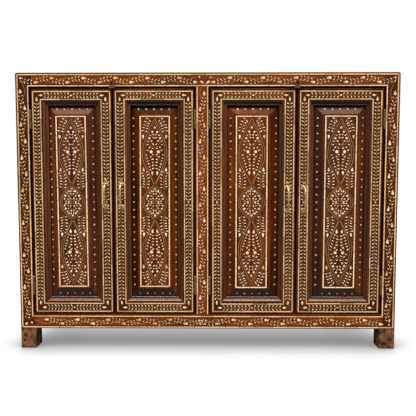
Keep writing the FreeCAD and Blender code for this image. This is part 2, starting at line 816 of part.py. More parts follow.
def pull(x, z):
    plate_y = (door_face - s.pull_plate_thickness, door_face)
    half_length = s.pull_length / 2
    lobe = s.pull_plate_width / 4
    bar_half = half_length - s.pull_plate_length + s.pull_bar_radius
    reach_y = s.pull_projection - s.pull_bar_radius
    bend = s.pull_bend_radius
    grip_y = door_face - reach_y
    pieces = []
    holes = []
    for end in (-1, 1):
        plate_middle = z + end * (half_length - s.pull_plate_length / 2)
        tip_z = z + end * (half_length - lobe)
        for lobe_x, lobe_z in ((x - lobe, plate_middle), (x + lobe, plate_middle), (x, tip_z)):
            pieces.append(rod(lobe, s.pull_plate_thickness, (lobe_x, plate_y[0], lobe_z), ALONG_Y))
            if lobe_x is not x:
                hole_start = (lobe_x, plate_y[0] - s.overrun, lobe_z)
                hole_length = s.pull_plate_thickness + 2 * s.overrun
                holes.append(rod(s.pull_piercing_radius, hole_length, hole_start, ALONG_Y))
        bar_z = z + end * bar_half
        if end > 0:
            neck_z = (bar_z - s.pull_bar_radius, tip_z)
        else:
            neck_z = (tip_z, bar_z + s.pull_bar_radius)
        pieces.append(block((x - s.pull_bar_radius, x + s.pull_bar_radius), plate_y, neck_z))
        pieces.append(rod(s.pull_bar_radius, reach_y - bend, (x, grip_y + bend, bar_z), ALONG_Y))
        corner = doc.addObject("Part::Torus", "Bend")
        bind(corner, Radius1=bend, Radius2=s.pull_bar_radius)
        corner.Angle3 = 90
        turn = BEND_UP if end > 0 else BEND_DOWN
        pieces.append(place(corner, (x, grip_y + bend, bar_z - end * bend), turn))
    grip_length = 2 * bar_half - 2 * bend
    pieces.append(rod(s.pull_bar_radius, grip_length, (x, grip_y, z - bar_half + bend), ALONG_Z))
    return cut(fuse(*pieces), *holes)


def pull_screws(x, z):
    """A round-headed screw through the tip of each plate."""
    lobe = s.pull_plate_width / 4
    plate_front = door_face - s.pull_plate_thickness
    head_front = plate_front - s.screw_head_depth
    screws = []
    for end in (-1, 1):
        tip_z = z + end * (s.pull_length / 2 - lobe)
        head = rod(s.screw_head_radius, s.screw_head_depth, (x, head_front, tip_z), ALONG_Y)
        stem = rod(s.screw_radius, s.screw_length, (x, plate_front, tip_z), ALONG_Y)
        screws.append(fuse(head, stem))
    return screws


def build_door(name, door):
    side = door.side
    frame_x = (door.x[0] + s.door_frame_width, door.x[1] - s.door_frame_width)
    middle_x = (door.x[0] + door.x[1]) / 2
    middle_z = (door_bottom + door_top) / 2
    # The raised field takes its share of what shows inside the moulding
    half_field_width = (frame_x[1] - frame_x[0] - 2 * s.moulding_width) * door.field_share / 2
    half_field_height = (frame_z[1] - frame_z[0] - 2 * s.moulding_width) * s.field_height_share / 2
    field_x = (middle_x - half_field_width, middle_x + half_field_width)
    field_z = (middle_z - half_field_height, middle_z + half_field_height)

    margin = s.door_string_margin
    inset = s.door_frame_width - s.string_quirk - s.string_width
    field_face = door_face + s.field_recess
    strips = string_rectangle(
        (door.x[0] + margin, door.x[1] - margin), (door_bottom + margin, door_top - margin), door_face)
    strips += string_rectangle(
        (door.x[0] + inset, door.x[1] - inset), (door_bottom + inset, door_top - inset), door_face)
    frame_stringing_of_door = group(*strips)
    field_margin = s.field_string_margin
    field_strips = string_rectangle(
        (field_x[0] + field_margin, field_x[1] - field_margin),
        (field_z[0] + field_margin, field_z[1] - field_margin),
        field_face,
    )
    field_stringing = group(*field_strips)
    node(f"{name}_stringing", group(*strips, *field_strips))

    lock_x = door.x[1] if side > 0 else door.x[0]
    pull_x = lock_x - side * door.pull_inset
    pull_fixings = pull_screws(pull_x, door.pull_z)
    hinge_fixings = []
    leaves = []
    for centre_z in hinge_centres_z:
        screws = leaf_screws(door.axis_x, side, centre_z, door_leaf_span[0], 1)
        blank = leaf_blank(door.axis_x, side, centre_z, door_leaf_span, DOOR_KNUCKLES)
        leaves.append(cut(blank, *screws))
        hinge_fixings += screws
    node(f"{name}_hinge_leaves", group(*leaves))
    node(f"{name}_screws", group(*hinge_fixings, *pull_fixings))
    node(f"{name}_pull", cut(pull(pull_x, door.pull_z), *pull_fixings))

    groove = block(
        grown((frame_x[0] - s.groove_depth, frame_x[1] + s.groove_depth)),
        grown(door_tenon_y),
        grown((frame_z[0] - s.groove_depth, frame_z[1] + s.groove_depth)),
    )
    rail_zs = ((door_bottom, frame_z[0]), (frame_z[1], door_top))
    tenon_zs = (
        (door_bottom + s.tenon_shoulder, frame_z[0] - s.groove_depth - s.tenon_shoulder),
        (frame_z[1] + s.groove_depth + s.tenon_shoulder, door_top - s.tenon_shoulder),
    )
    tenon_x = (frame_x[0] - s.tenon_length, frame_x[1] + s.tenon_length)

    rails = []
    for rail_z, tenon_z in zip(rail_zs, tenon_zs):
        rail = fuse(block(frame_x, door_y, rail_z), block(tenon_x, door_tenon_y, tenon_z))
        rails.append(cut(rail, groove, frame_stringing_of_door))
    node(f"{name}_rails", group(*rails))

    left_stile = block((door.x[0], frame_x[0]), door_y, door_z)
    right_stile = block((frame_x[1], door.x[1]), door_y, door_z)
    hinge_stile, lock_stile = (left_stile, right_stile) if side > 0 else (right_stile, left_stile)
    mortises = [mortise(tenon_x, door_tenon_y, tenon_z) for tenon_z in tenon_zs]
    node(f"{name}_hinge_stile", cut(
        hinge_stile, groove, *mortises, frame_stringing_of_door, group(*hinge_fixings)))
    node(f"{name}_lock_stile", cut(
        lock_stile, groove, *mortises, frame_stringing_of_door, group(*pull_fixings)))

    node(f"{name}_panel", cut(fielded_panel(frame_x, field_x, field_z), field_stringing))
    node(f"{name}_moulding", moulding(frame_x, frame_z))


for number, door in enumerate(doors, start=1):
    build_door(f"door_{number}", door)


# Every feature must have worked before anything is written

doc.recompute()
for feature in doc.Objects:
    if "Invalid" in feature.State or "Error" in feature.State:
        raise RuntimeError(f"{feature.Label} failed: {feature.State}")
for name, feature in nodes.items():
    if feature.Shape.isNull() or not feature.Shape.isValid() or not feature.Shape.Solids:
        raise RuntimeError(f"{name} has no valid shape")

os.makedirs("parts", exist_ok=True)
for name, feature in nodes.items():
    feature.Shape.exportStep(os.path.join("parts", f"{name}.step"))
print(f"{len(nodes)} sub-parts written")
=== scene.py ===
import json
import math
import random
from types import SimpleNamespace

import bmesh
import bpy
from mathutils import Matrix, Vector


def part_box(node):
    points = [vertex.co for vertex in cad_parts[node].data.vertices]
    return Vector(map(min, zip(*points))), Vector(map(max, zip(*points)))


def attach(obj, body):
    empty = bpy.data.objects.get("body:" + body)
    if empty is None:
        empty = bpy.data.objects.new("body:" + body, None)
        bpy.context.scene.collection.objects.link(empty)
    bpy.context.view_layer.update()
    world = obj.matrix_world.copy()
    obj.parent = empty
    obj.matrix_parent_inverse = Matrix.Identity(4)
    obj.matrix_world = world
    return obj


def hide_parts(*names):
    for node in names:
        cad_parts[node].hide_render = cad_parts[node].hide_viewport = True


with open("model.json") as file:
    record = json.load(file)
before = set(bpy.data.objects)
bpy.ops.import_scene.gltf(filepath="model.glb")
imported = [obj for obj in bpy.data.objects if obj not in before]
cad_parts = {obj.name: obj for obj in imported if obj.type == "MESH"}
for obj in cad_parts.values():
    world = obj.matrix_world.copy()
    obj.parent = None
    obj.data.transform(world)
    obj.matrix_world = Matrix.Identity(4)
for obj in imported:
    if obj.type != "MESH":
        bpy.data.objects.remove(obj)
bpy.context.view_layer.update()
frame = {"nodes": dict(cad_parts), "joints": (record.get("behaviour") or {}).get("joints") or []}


# Posts
# Four squared rosewood posts run down past the case as legs. They are sawn and planed by hand and
# waxed; the rails are tenoned into them, and their feet are worn round, paler and stained.

mm = 0.001
nodes = frame["nodes"]
post_names = ["front_left_post", "front_right_post", "back_left_post", "back_right_post"]
post_proud, rebate_depth, overcut = 2.8 * mm, 26.5 * mm, 1 * mm
gap_below_doors, gap_above_doors, hinge_gap = 4 * mm, 6.5 * mm, 7.5 * mm
left_post, right_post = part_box("front_left_post"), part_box("front_right_post")
case_low = Vector((left_post[0].x, left_post[0].y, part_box("front_bottom_rail")[0].z))
case_high = Vector((right_post[1].x, left_post[0].y, left_post[1].z))
hinge_stiles = {number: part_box(f"door_{number}_hinge_stile") for number in (1, 2, 3, 4)}
opening_z = (hinge_stiles[1][0].z - gap_below_doors, hinge_stiles[1][1].z + gap_above_doors)
left_opening = (hinge_stiles[1][0].x - hinge_gap, hinge_stiles[2][1].x + hinge_gap)
right_opening = (hinge_stiles[3][0].x - hinge_gap, hinge_stiles[4][1].x + hinge_gap)


def linear(code):
    """An sRGB hex colour as linear red, green and blue with full alpha."""
    channels = [int(code[place:place + 2], 16) / 255 for place in (1, 3, 5)]
    return [c / 12.92 if c <= 0.04045 else ((c + 0.055) / 1.055) ** 2.4 for c in channels] + [1.0]


def add(tree, kind, inputs=(), stops=(), out=0, **settings):
    """Adds a shader node and gives one of its outputs.

    Inputs come by name or in the node's own order, which for a MapRange is the value, the range it comes
    from and the range it goes to. A socket is linked, anything else is set.
    """
    made = tree.nodes.new("ShaderNode" + kind)
    for name, value in settings.items():
        setattr(made, name, value)
    if stops:
        elements = made.color_ramp.elements
        while len(elements) < len(stops):
            elements.new(1.0)
        for element, (position, colour) in zip(elements, stops):
            element.position = position
            element.color = linear(colour) if isinstance(colour, str) else colour
    for name, value in inputs.items() if isinstance(inputs, dict) else enumerate(inputs):
        if isinstance(value, bpy.types.NodeSocket):
            tree.links.new(value, made.inputs[name])
        else:
            made.inputs[name].default_value = value
    return made.outputs[out] if made.outputs else None


def new_finish(name):
    """An empty material, its node tree, and the place on the piece that its patterns follow."""
    material = bpy.data.materials.new(name)
    material.use_nodes = True
    tree = material.node_tree
    tree.nodes.clear()
    return material, tree, add(tree, "TexCoord", out="Object")


def grain_figure(tree, place, width, length, grain, **noise):
    """Noise in streaks of that width across the grain and that length along it."""
    steps = [1 / width] * 3
    steps["xyz".index(grain)] = 1 / length
    along_grain = add(tree, "Mapping", {"Vector": place, "Scale": steps})
    return add(tree, "TexNoise", {"Vector": along_grain, "Scale": 1.0, **noise})


def corner_shade(tree, reach=9 * mm):
    """Painted shade: darkens and dulls the corners and recesses that open air doesn't reach: 1 is unshaded.
    """
    open_air = add(tree, "AmbientOcclusion", {"Distance": reach}, out="AO", samples=6)
    return add(tree, "MapRange", [open_air, 0.35, 0.95, 0.35, 1.0])


def shaded(tree, colour, *shades):
    """A colour darkened by each shade in turn."""
    for shade in shades:
        colour = add(tree, "Mix", {0: 1.0, 6: colour, 7: shade}, out=2,
                     data_type="RGBA", blend_type="MULTIPLY")
    return colour


def rosewood(name, grain, *tones, roughness=0.36, worn=None, shade_reach=9 * mm, polish=0.2, planks=False):
    """Waxed rosewood: dark and red streaks along the grain, fine pores, a dull old polish, and painted shade
    in the corners.
    """
    material, tree, place = new_finish(name)
    if planks:
        board = add(tree, "NewGeometry", out="Random Per Island")
    else:
        board = add(tree, "ObjectInfo", out="Random")
    own_log = add(tree, "VectorMath", [place, board], operation="ADD")
    streaks = grain_figure(tree, own_log, 9 * mm, 260 * mm, grain, Detail=4.0, Roughness=0.62, Distortion=0.5)
    pores = grain_figure(tree, own_log, 1.6 * mm, 24 * mm, grain)
    patches = grain_figure(tree, own_log, 60 * mm, 180 * mm, grain)
    colour = add(tree, "ValToRGB", [streaks], stops=[*zip((0.30, 0.50, 0.72), tones)])
    patch_shade = add(tree, "MapRange", [patches, 0.3, 0.7, 0.72, 1.22])
    pore_shade = add(tree, "MapRange", [pores, 0.28, 0.46, 0.62, 1.0])
    colour = shaded(tree, colour, patch_shade, pore_shade)
    if planks:
        colour = shaded(tree, colour, add(tree, "MapRange", [board, 0.0, 1.0, 0.68, 1.25]))
    # Painted shade in the corners darkens the colour and dulls the shine.
    unshaded = corner_shade(tree, shade_reach)
    colour = shaded(tree, colour, unshaded)
    shine = add(tree, "MapRange", [unshaded, 0.4, 1.0, 0.02, polish])
    # Posts get their worn feet here, panels the painted light and shade of their slopes, and door rails their
    # darkening towards the bottom.
    if worn:
        colour, shine = worn(tree, place, colour, shine)
    gloss = add(tree, "MapRange", [streaks, 0.25, 0.75, roughness + 0.08, roughness - 0.08])
    relief = add(tree, "Bump", {"Height": pores, "Strength": 0.35, "Distance": 0.25 * mm})
    wood = add(tree, "BsdfPrincipled", {
        "Base Color": colour, "Roughness": gloss, "Normal": relief, "Specular IOR Level": shine})
    add(tree, "OutputMaterial", [wood])
    return material


def worn_foot(tree, place, colour, shine):
    """Below the case the wax is gone: paler wood with dark stains and worm holes."""
    stain_size, worm_spacing = 15 * mm, 19 * mm
    height = add(tree, "SeparateXYZ", [place], out="Z")
    below = add(tree, "MapRange", [height, case_low.z - 3 * mm, case_low.z + 1 * mm, 1.0, 0.0])
    stains = add(tree, "TexNoise", {
        "Vector": place, "Scale": 1 / stain_size, "Detail": 5.0, "Roughness": 0.6})
    pale = add(tree, "ValToRGB", [stains], stops=[(0.33, "#27170d"), (0.46, "#553621"), (0.62, "#7f5437")])
    worms = add(tree, "TexVoronoi", {"Vector": place, "Scale": 1 / worm_spacing, "Randomness": 1.0})
    bored = add(tree, "MapRange", [worms, 0.17, 0.27, 0.22, 1.0])
    pale = shaded(tree, pale, bored)
    return add(tree, "Mix", {0: below, 6: colour, 7: pale}, out=2, data_type="RGBA"), shine


def new_piece(name, mesh, body, slot, *materials):
    """A named piece of the sideboard that rides on a body and takes the given finishes; its slot is not used.
    """
    piece = bpy.data.objects.new(name, mesh)
    bpy.context.scene.collection.objects.link(piece)
    for material in materials:
        mesh.materials.append(material)
    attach(piece, body)
    return piece


def dress(material, *names):
    """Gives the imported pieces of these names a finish."""
    for name in names:
        nodes[name].data.materials.clear()
        nodes[name].data.materials.append(material)


def new_block(low, high):
    """A block between two corners."""
    bm = bmesh.new()
    bmesh.ops.create_cube(bm, size=1.0, matrix=Matrix.LocRotScale((low + high) / 2, None, high - low))
    return bm


def worked_mesh(name, bm):
    """A mesh of a shape that is done."""
    mesh = bpy.data.meshes.new(name)
    bm.to_mesh(mesh)
    bm.free()
    return mesh


def post_mesh(name, low, high):
    """A post with a rounded outer top corner, a worn foot and eased edges."""
    near, long_edge = 0.01 * mm, 500 * mm
    top_round, foot_round, edge_round = 7 * mm, 4.5 * mm, 1.8 * mm
    outer_x = low.x if low.x < 0 else high.x
    bm = new_block(low, high)

    def at_top_corner(edge):
        return all(abs(end.co.x - outer_x) < near and abs(end.co.z - high.z) < near for end in edge.verts)

    def at_foot(edge):
        return all(abs(end.co.z - low.z) < near for end in edge.verts)

    def is_upright(edge):
        return edge.calc_length() > long_edge

    for chosen, rounding, segments in (
            (at_top_corner, top_round, 4), (at_foot, foot_round, 4), (is_upright, edge_round, 3)):
        edges = [edge for edge in bm.edges if chosen(edge)]
        bmesh.ops.bevel(bm, geom=edges, offset=rounding, segments=segments, profile=0.5, affect="EDGES")
    return worked_mesh(name, bm)


def cut_away(mesh, low, high):
    """Cuts a block-shaped rebate out of a mesh and returns what is left."""
    rebate_mesh = worked_mesh("rebate", new_block(low, high))
    rebate = bpy.data.objects.new("rebate", rebate_mesh)
    whole = bpy.data.objects.new("whole", mesh)
    for piece in (rebate, whole):
        bpy.context.scene.collection.objects.link(piece)
    cut = whole.modifiers.new("rebate", "BOOLEAN")
    cut.object = rebate
    cut.operation = "DIFFERENCE"
    left = bpy.data.meshes.new_from_object(whole.evaluated_get(bpy.context.evaluated_depsgraph_get()))
    for piece in (rebate, whole):
        bpy.data.objects.remove(piece)
    bpy.data.meshes.remove(rebate_mesh)
    return left


post_rosewood = rosewood("waxed rosewood of the posts", "z", "#2e0f02", "#481c04", "#632c09", worn=worn_foot)
for post_name in post_names:
    post_low, post_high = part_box(post_name)
    if post_low.x < 0:
        post_low.x -= post_proud
        rebate_x = (left_opening[0], post_high.x + overcut)
    else:
        post_high.x += post_proud
        rebate_x = (post_low.x - overcut, right_opening[1])
    shape = post_mesh(f"{post_name}_timber", post_low, post_high)
    if post_name.startswith("front"):
        shape = cut_away(shape, Vector((rebate_x[0], post_low.y - overcut, opening_z[0])),
                         Vector((rebate_x[1], post_low.y + rebate_depth, opening_z[1])))
    post_piece = new_piece(f"{post_name}_timber", shape, "case", "post_rosewood", post_rosewood)
    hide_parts(post_name)


# Front rails and centre stile
# The rails and the stile are rosewood too, tenoned and pegged into the posts, and redder than them.
# Their front faces carry the bone inlay, and their edges are rebated to stop the doors.

rail_rosewood = rosewood("waxed rosewood of the rails", "x", "#491d03", "#692f06", "#85420e")
stile_rosewood = rosewood("orange rosewood of the stile", "z", "#531e02", "#772f02", "#914406")
dress(rail_rosewood, "front_top_rail", "front_bottom_rail")
dress(stile_rosewood, "centre_stile")


# Sides, top, bottom, back and shelf
# Side panels held in grooves, three top boards and three bottom boards on ledges, upright back
# planks and one shelf on cleats. Inside and behind the timber was left plain and has gone dusty.

side_rosewood = rosewood("waxed rosewood of the side panels", "z", "#3c1c0c", "#5a2e14", "#7a4420")
side_rail_rosewood = rosewood("waxed rosewood of the side rails", "y", "#3a1a0b", "#542a13", "#70401f")
board_rosewood = rosewood("waxed rosewood of the top boards", "x", "#43200e", "#633318", "#834a24",
                          planks=True)
plain_timber = rosewood("plain timber of the back", "z", "#4f3520", "#6f4d30", "#8c6743", roughness=0.72,
                        planks=True)
plain_board = rosewood("plain timber of the boards", "x", "#4c321e", "#6a482c", "#86603c", roughness=0.72,
                       planks=True)
dress(side_rosewood, "left_side_panel", "right_side_panel")
dress(side_rail_rosewood, "side_rails")
dress(board_rosewood, "top_planks")
dress(plain_timber, "back_planks")
dress(plain_board, "back_rails", "bottom_planks", "shelf", "shelf_cleats")


# Bone stringing and leaf inlay of the front frame
# Strips of bone about as long as a finger are let into grooves end to end. Between them runs a
# vine of bone buds and leaves, each cut by hand and bedded in dark lac.

string_width, string_depth = 4.5 * mm, 2 * mm
bone_proud, lac_proud, line_proud = 0.25 * mm, 0.08 * mm, 0.16 * mm
bed_depth = 0.6 * mm
hand = random.Random(11)


def bone(name, yellow, pale):
    """Polished bone: each piece has yellowed to its own tone, with faint streaks and pores."""
    material, tree, place = new_finish(name)
    own = add(tree, "NewGeometry", out="Random Per Island")
    streaks = grain_figure(tree, place, 0.9 * mm, 14 * mm, "z")
    tone = add(tree, "Math", [streaks, 0.35, own], operation="MULTIPLY_ADD")
    colour = add(tree, "ValToRGB", [tone], stops=[(0.10, yellow), (1.15 / 1.35, pale)])
    relief = add(tree, "Bump", {"Height": streaks, "Strength": 0.2, "Distance": 0.1 * mm})
    polished = add(tree, "BsdfPrincipled", {
        "Base Color": colour, "Roughness": 0.34, "Normal": relief, "Specular IOR Level": 0.4})
    add(tree, "OutputMaterial", [polished])
    return material


def dark_lac():
    """Dark lac that fills the beds round the bone: nearly black, smooth, with a faint shine."""
    fleck = 5 * mm
    material, tree, place = new_finish("dark lac filling")
    flecks = add(tree, "TexNoise", {"Vector": place, "Scale": 1 / fleck, "Detail": 3.0})
    colour = add(tree, "ValToRGB", [flecks], stops=[(0.35, "#0d0502"), (0.7, "#2c1208")])
    lac = add(tree, "BsdfPrincipled", {"Base Color": colour, "Roughness": 0.5, "Specular IOR Level": 0.3})
    add(tree, "OutputMaterial", [lac])
    return material


string_bone = bone("yellowed bone of the frame stringing", "#c18e56", "#eebd84")
leaf_bone = bone("pale bone of the leaves", "#c59355", "#edcd9b")
line_bone = bone("thin brown bone lines", "#7c5330", "#a87a4c")
lac_fill = dark_lac()


def front_face(y):
    """A face of the front, looked at square on: its start, right, up and outward directions."""
    return Vector((0, y, 0)), Vector((1, 0, 0)), Vector((0, 0, 1)), Vector((0, -1, 0))


def new_store():
    """Collects the points and faces of one mesh."""
    return SimpleNamespace(points=[], faces=[])


def new_bed(face):
    """Collects the pieces of bone, lac and line that are let into a face."""
    return SimpleNamespace(face=face, bone=new_store(), lac=new_store(), line=new_store())


def let_in(bed, store, outline, at, heading, proud, depth=bed_depth):
    """Adds one flat closed piece; the outline's first axis points along the heading."""
    start, right, up, out = bed.face
    cos_h, sin_h = math.cos(heading), math.sin(heading)
    first, count = len(store.points), len(outline)
    for level in (proud, -depth):
        for along, across in outline:
            x = at[0] + along * cos_h - across * sin_h
            z = at[1] + along * sin_h + across * cos_h
            store.points.append(start + right * x + up * z + out * level)
    store.faces.append([first + i for i in range(count)])
    store.faces.append([first + count + i for i in reversed(range(count))])
    for i in range(count):
        after = (i + 1) % count
        store.faces.append([first + i, first + count + i, first + count + after, first + after])


def petal_outline(length, width, swell, middle, steps):
    """A petal with a pointed tip; a low swell makes its foot round, and its middle is a share along it."""
    shares = [step / steps for step in range(steps + 1)]
    half = [(share, width / 2 * math.sin(math.pi * share ** swell)) for share in shares]
    under = [((share - middle) * length, -across) for share, across in half]
    over = [((share - middle) * length, across) for share, across in reversed(half[1:-1])]
    return under + over


def leaf_outline(length, width):
    """A leaf pointed at both ends."""
    return petal_outline(length, width, swell=1.0, middle=0.5, steps=6)


def bud_outline(length, width):
    """A bud, round at its foot and drawn out to a point."""
    return petal_outline(length, width, swell=0.5, middle=0.45, steps=9)


def dot_outline(length, width, steps=10):
    """A round peg of bone, cut off flush."""
    radius = (length + width) / 4
    turns = [2 * math.pi * step / steps for step in range(steps)]
    return [(radius * math.cos(turn), radius * math.sin(turn)) for turn in turns]


def bar_outline(length, width):
    """A plain strip."""
    return [(side * length / 2, edge * width / 2) for side, edge in ((-1, -1), (1, -1), (1, 1), (-1, 1))]


def set_shape(bed, shape, at, heading, length, width, lac_margin=0.9 * mm):
    """Lets in one leaf, bud or dot with its rim of lac, as uneven as handwork is."""
    length *= hand.uniform(0.92, 1.08)
    width *= hand.uniform(0.9, 1.1)
    heading += math.radians(hand.uniform(-6, 6))
    at = (at[0] + hand.uniform(-0.4, 0.4) * mm, at[1] + hand.uniform(-0.4, 0.4) * mm)
    let_in(bed, bed.bone, shape(length, width), at, heading, bone_proud)
    let_in(bed, bed.lac, shape(length + 2 * lac_margin, width + 2 * lac_margin), at, heading, lac_proud)


def set_dot(bed, at, radius):
    """Lets in one round dot of bone with its rim of lac."""
    set_shape(bed, dot_outline, at, 0.0, 2 * radius, 2 * radius, lac_margin=0.7 * mm)


def lay_ribbon(bed, store, points, width, proud):
    """Adds a closed ribbon of one width along points of a face."""
    start, right, up, out = bed.face
    first, count = len(store.points), len(points)
    for index, (x, z) in enumerate(points):
        before = points[max(index - 1, 0)]
        after = points[min(index + 1, count - 1)]
        run = Vector((after[0] - before[0], after[1] - before[1])).normalized()
        for side in (1, -1):
            edge_x = x - run.y * side * width / 2
            edge_z = z + run.x * side * width / 2
            for level in (proud, -bed_depth):
                store.points.append(start + right * edge_x + up * edge_z + out * level)
    for index in range(count - 1):
        a = first + 4 * index
        b = a + 4
        for one, other in ((2, 0), (1, 3), (0, 1), (3, 2)):
            store.faces.append([a + one, b + one, b + other, a + other])
    last = first + 4 * (count - 1)
    store.faces.append([first, first + 1, first + 3, first + 2])
    store.faces.append([last + 2, last + 3, last + 1, last])


def lay_line(bed, points, width, lac_margin=0.0):
    """Lays a thin line of bone along points of a face, with a rim of lac where it has one."""
    lay_ribbon(bed, bed.line, points, width, line_proud)
    if lac_margin:
        lay_ribbon(bed, bed.lac, points, width + 2 * lac_margin, lac_proud)


def along_spine(points, distance):
    """The place at a distance along a line of points, and the line's heading there."""
    for (x0, z0), (x1, z1) in zip(points, points[1:]):
        length = math.hypot(x1 - x0, z1 - z0)
        if distance <= length or (x1, z1) == points[-1]:
            share = distance / length
            return (x0 + (x1 - x0) * share, z0 + (z1 - z0) * share), math.atan2(z1 - z0, x1 - x0)
        distance -= length


def sprig(bed, stem, first, pitch, rows, offset, leaf=(9 * mm, 3.2 * mm), spread=55):
    """Pairs of leaves along a stem, their points forward and out, each on its own thin stalk."""
    stalk_back, stalk_width, lac_margin = 4.5 * mm, 0.8 * mm, 1.6 * mm
    for row in range(rows):
        distance = first + row * pitch
        (x, z), heading = along_spine(stem, distance)
        stalk_foot = along_spine(stem, max(distance - stalk_back, 0.0))[0]
        for side in (1, -1):
            at = (x - math.sin(heading) * side * offset, z + math.cos(heading) * side * offset)
            set_shape(bed, leaf_outline, at, heading + side * math.radians(spread), *leaf, lac_margin)
            lay_line(bed, [stalk_foot, at], stalk_width)


def string_run(bed, start, end):
    """One run of stringing from end to end, cut into strips of bone with dark joints."""
    strip_length, uneven, joint, slack = 60 * mm, 0.22, 1.5 * mm, 0.4 * mm
    strip_proud, groove_proud, groove_rim = 0.12 * mm, 0.04 * mm, 0.5 * mm
    run = Vector((end[0] - start[0], end[1] - start[1]))
    length = run.length
    heading = math.atan2(run.y, run.x)
    strips = max(1, round(length / strip_length))
    cuts = [length * (strip + hand.uniform(-uneven, uneven)) / strips for strip in range(1, strips)]
    for begin, stop in zip([0.0] + cuts, cuts + [length]):
        strip = bar_outline(stop - begin - joint, string_width - 2 * slack)
        middle = (begin + stop) / 2
        at = (start[0] + run.x / length * middle, start[1] + run.y / length * middle)
        let_in(bed, bed.bone, strip, at, heading, strip_proud, string_depth)
    groove = bar_outline(length, string_width + 2 * groove_rim)
    let_in(bed, bed.lac, groove, ((start[0] + end[0]) / 2, (start[1] + end[1]) / 2), heading, groove_proud)


def string_rectangle(bed, x, z, aside=lambda level: 0.0):
    """Stringing laid inside the given outer edges: uprights run through, level strips between them."""
    half = string_width / 2
    for upright in (x[0] + half, x[1] - half):
        string_run(bed, (upright + aside(z[0]), z[0]), (upright + aside(z[1]), z[1]))
    for level in (z[0] + half, z[1] - half):
        shift = aside(level)
        string_run(bed, (x[0] + string_width + shift, level), (x[1] - string_width + shift, level))


def mesh_of(name, store):
    """A mesh from collected points and faces."""
    mesh = bpy.data.meshes.new(name)
    mesh.from_pydata(store.points, [], store.faces)
    mesh.update()
    return mesh


def lay_inlay(bed, name, body, bone_material):
    """Makes the pieces of a bed that hold anything; the bone comes first."""
    made = []
    for part, store, slot, material in (
            ("bone", bed.bone, "bone", bone_material), ("lac", bed.lac, None, lac_fill),
            ("lines", bed.line, "bone", line_bone)):
        if store.points:
            made.append(new_piece(f"{name}_{part}", mesh_of(f"{name}_{part}", store), body, slot, material))
    return made


def vine(bed, start, heading, length, first_bud, pitch, buds, first_side):
    """A winding vine with a bud at each bend and a sprig of leaves behind each bud."""
    bend, line_step, line_width, line_swing = 7.2 * mm, 6 * mm, 1.3 * mm, 1.1
    bud_size, leaf_size, leaf_offset = (16 * mm, 8.8 * mm), (9 * mm, 3 * mm), 5.4 * mm
    sprig_length, sprig_bow, sprig_steps = pitch * 0.95, 1.25, 5
    first_leaf, leaf_pitch, leaf_rows = 3 * mm, pitch / 4.7, 4
    ahead = Vector((math.cos(heading), math.sin(heading)))
    aside = Vector((-ahead.y, ahead.x))

    def at(distance, offset):
        point = Vector(start) + ahead * distance + aside * offset
        return point.x, point.y

    steps = max(8, round(length / line_step))
    winding = []
    for step in range(steps + 1):
        distance = length * step / steps
        turn = math.pi * (distance - first_bud) / pitch
        winding.append(at(distance, -first_side * line_swing * bend * math.cos(turn)))
    lay_line(bed, winding, line_width)
    for bud in range(buds):
        side = first_side * (1 if bud % 2 == 0 else -1)
        distance = first_bud + bud * pitch
        set_shape(bed, bud_outline, at(distance, side * bend), heading, *bud_size)
        stem = []
        for step in range(sprig_steps + 1):
            back = sprig_length * (1 - step / sprig_steps)
            stem.append(at(distance - back, side * bend * (1 - sprig_bow * (back / sprig_length) ** 2)))
        sprig(bed, stem, first_leaf, leaf_pitch, leaf_rows, leaf_offset, leaf_size)


frame_face = front_face(case_low.y)
edge_margin, top_margin, sill_margin = 2 * mm, 4.3 * mm, 2.6 * mm
opening_margin, opening_sill_margin = 0.6 * mm, 5.6 * mm
string_reach = edge_margin + string_width
opening_reach = opening_margin + string_width
frame_strings = new_bed(frame_face)
string_rectangle(frame_strings, (case_low.x + edge_margin, case_high.x - edge_margin),
                 (case_low.z + sill_margin, case_high.z - top_margin))
string_rectangle(frame_strings, (left_opening[0] - opening_reach, right_opening[1] + opening_reach),
                 (opening_z[0] - opening_sill_margin - string_width, opening_z[1] + opening_reach))
stile_strings = (left_opening[1] + string_reach - string_width / 2,
                 right_opening[0] - opening_reach + string_width / 2)
for stile_x in stile_strings:
    string_run(frame_strings, (stile_x, opening_z[0]), (stile_x, opening_z[1]))
frame_string_piece = lay_inlay(frame_strings, "frame_string", "case", string_bone)[0]
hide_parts("frame_stringing")

frame_bed = new_bed(frame_face)
stile_middle = (left_opening[1] + right_opening[0]) / 2
left_band = (case_low.x + left_opening[0]) / 2
right_band = (case_high.x + right_opening[1]) / 2
top_band = (opening_z[1] + opening_reach + case_high.z - top_margin - string_width) / 2
bottom_band = (case_low.z + sill_margin + opening_z[0] - opening_sill_margin) / 2
up, leftward, rightward = math.pi / 2, math.pi, 0.0
post_start, post_run = case_low.z + 30 * mm, case_high.z - case_low.z - 52 * mm
stile_start, stile_run = opening_z[0] + 4 * mm, opening_z[1] - opening_z[0] - 8 * mm
left_run, right_run = stile_middle - case_low.x, case_high.x - stile_middle

# Each vine has its start, heading and length, the place of its first bud, the pitch and count of its
# buds, and the side of the first one. They run up the posts and the stile, then along the rails.
for start, heading, length, first_bud, pitch, buds, first_side in (
        ((left_band, post_start), up, post_run, 60.5 * mm, 57 * mm, 14, -1),
        ((right_band, post_start), up, post_run, 53 * mm, 57 * mm, 14, 1),
        ((stile_middle, stile_start), up, stile_run, 54.7 * mm, 54.9 * mm, 14, 1),
        ((stile_middle, bottom_band), leftward, left_run - 45 * mm, 58 * mm, 55 * mm, 10, 1),
        ((stile_middle, bottom_band), rightward, right_run - 45 * mm, 53.3 * mm, 57.8 * mm, 11, -1),
        ((case_low.x + 18 * mm, top_band), rightward, left_run - 40 * mm, 51 * mm, 55 * mm, 11, -1),
        ((case_high.x - 18 * mm, top_band), leftward, right_run - 40 * mm, 51 * mm, 57 * mm, 11, 1)):
    vine(frame_bed, start, heading, length, first_bud, pitch, buds, first_side)

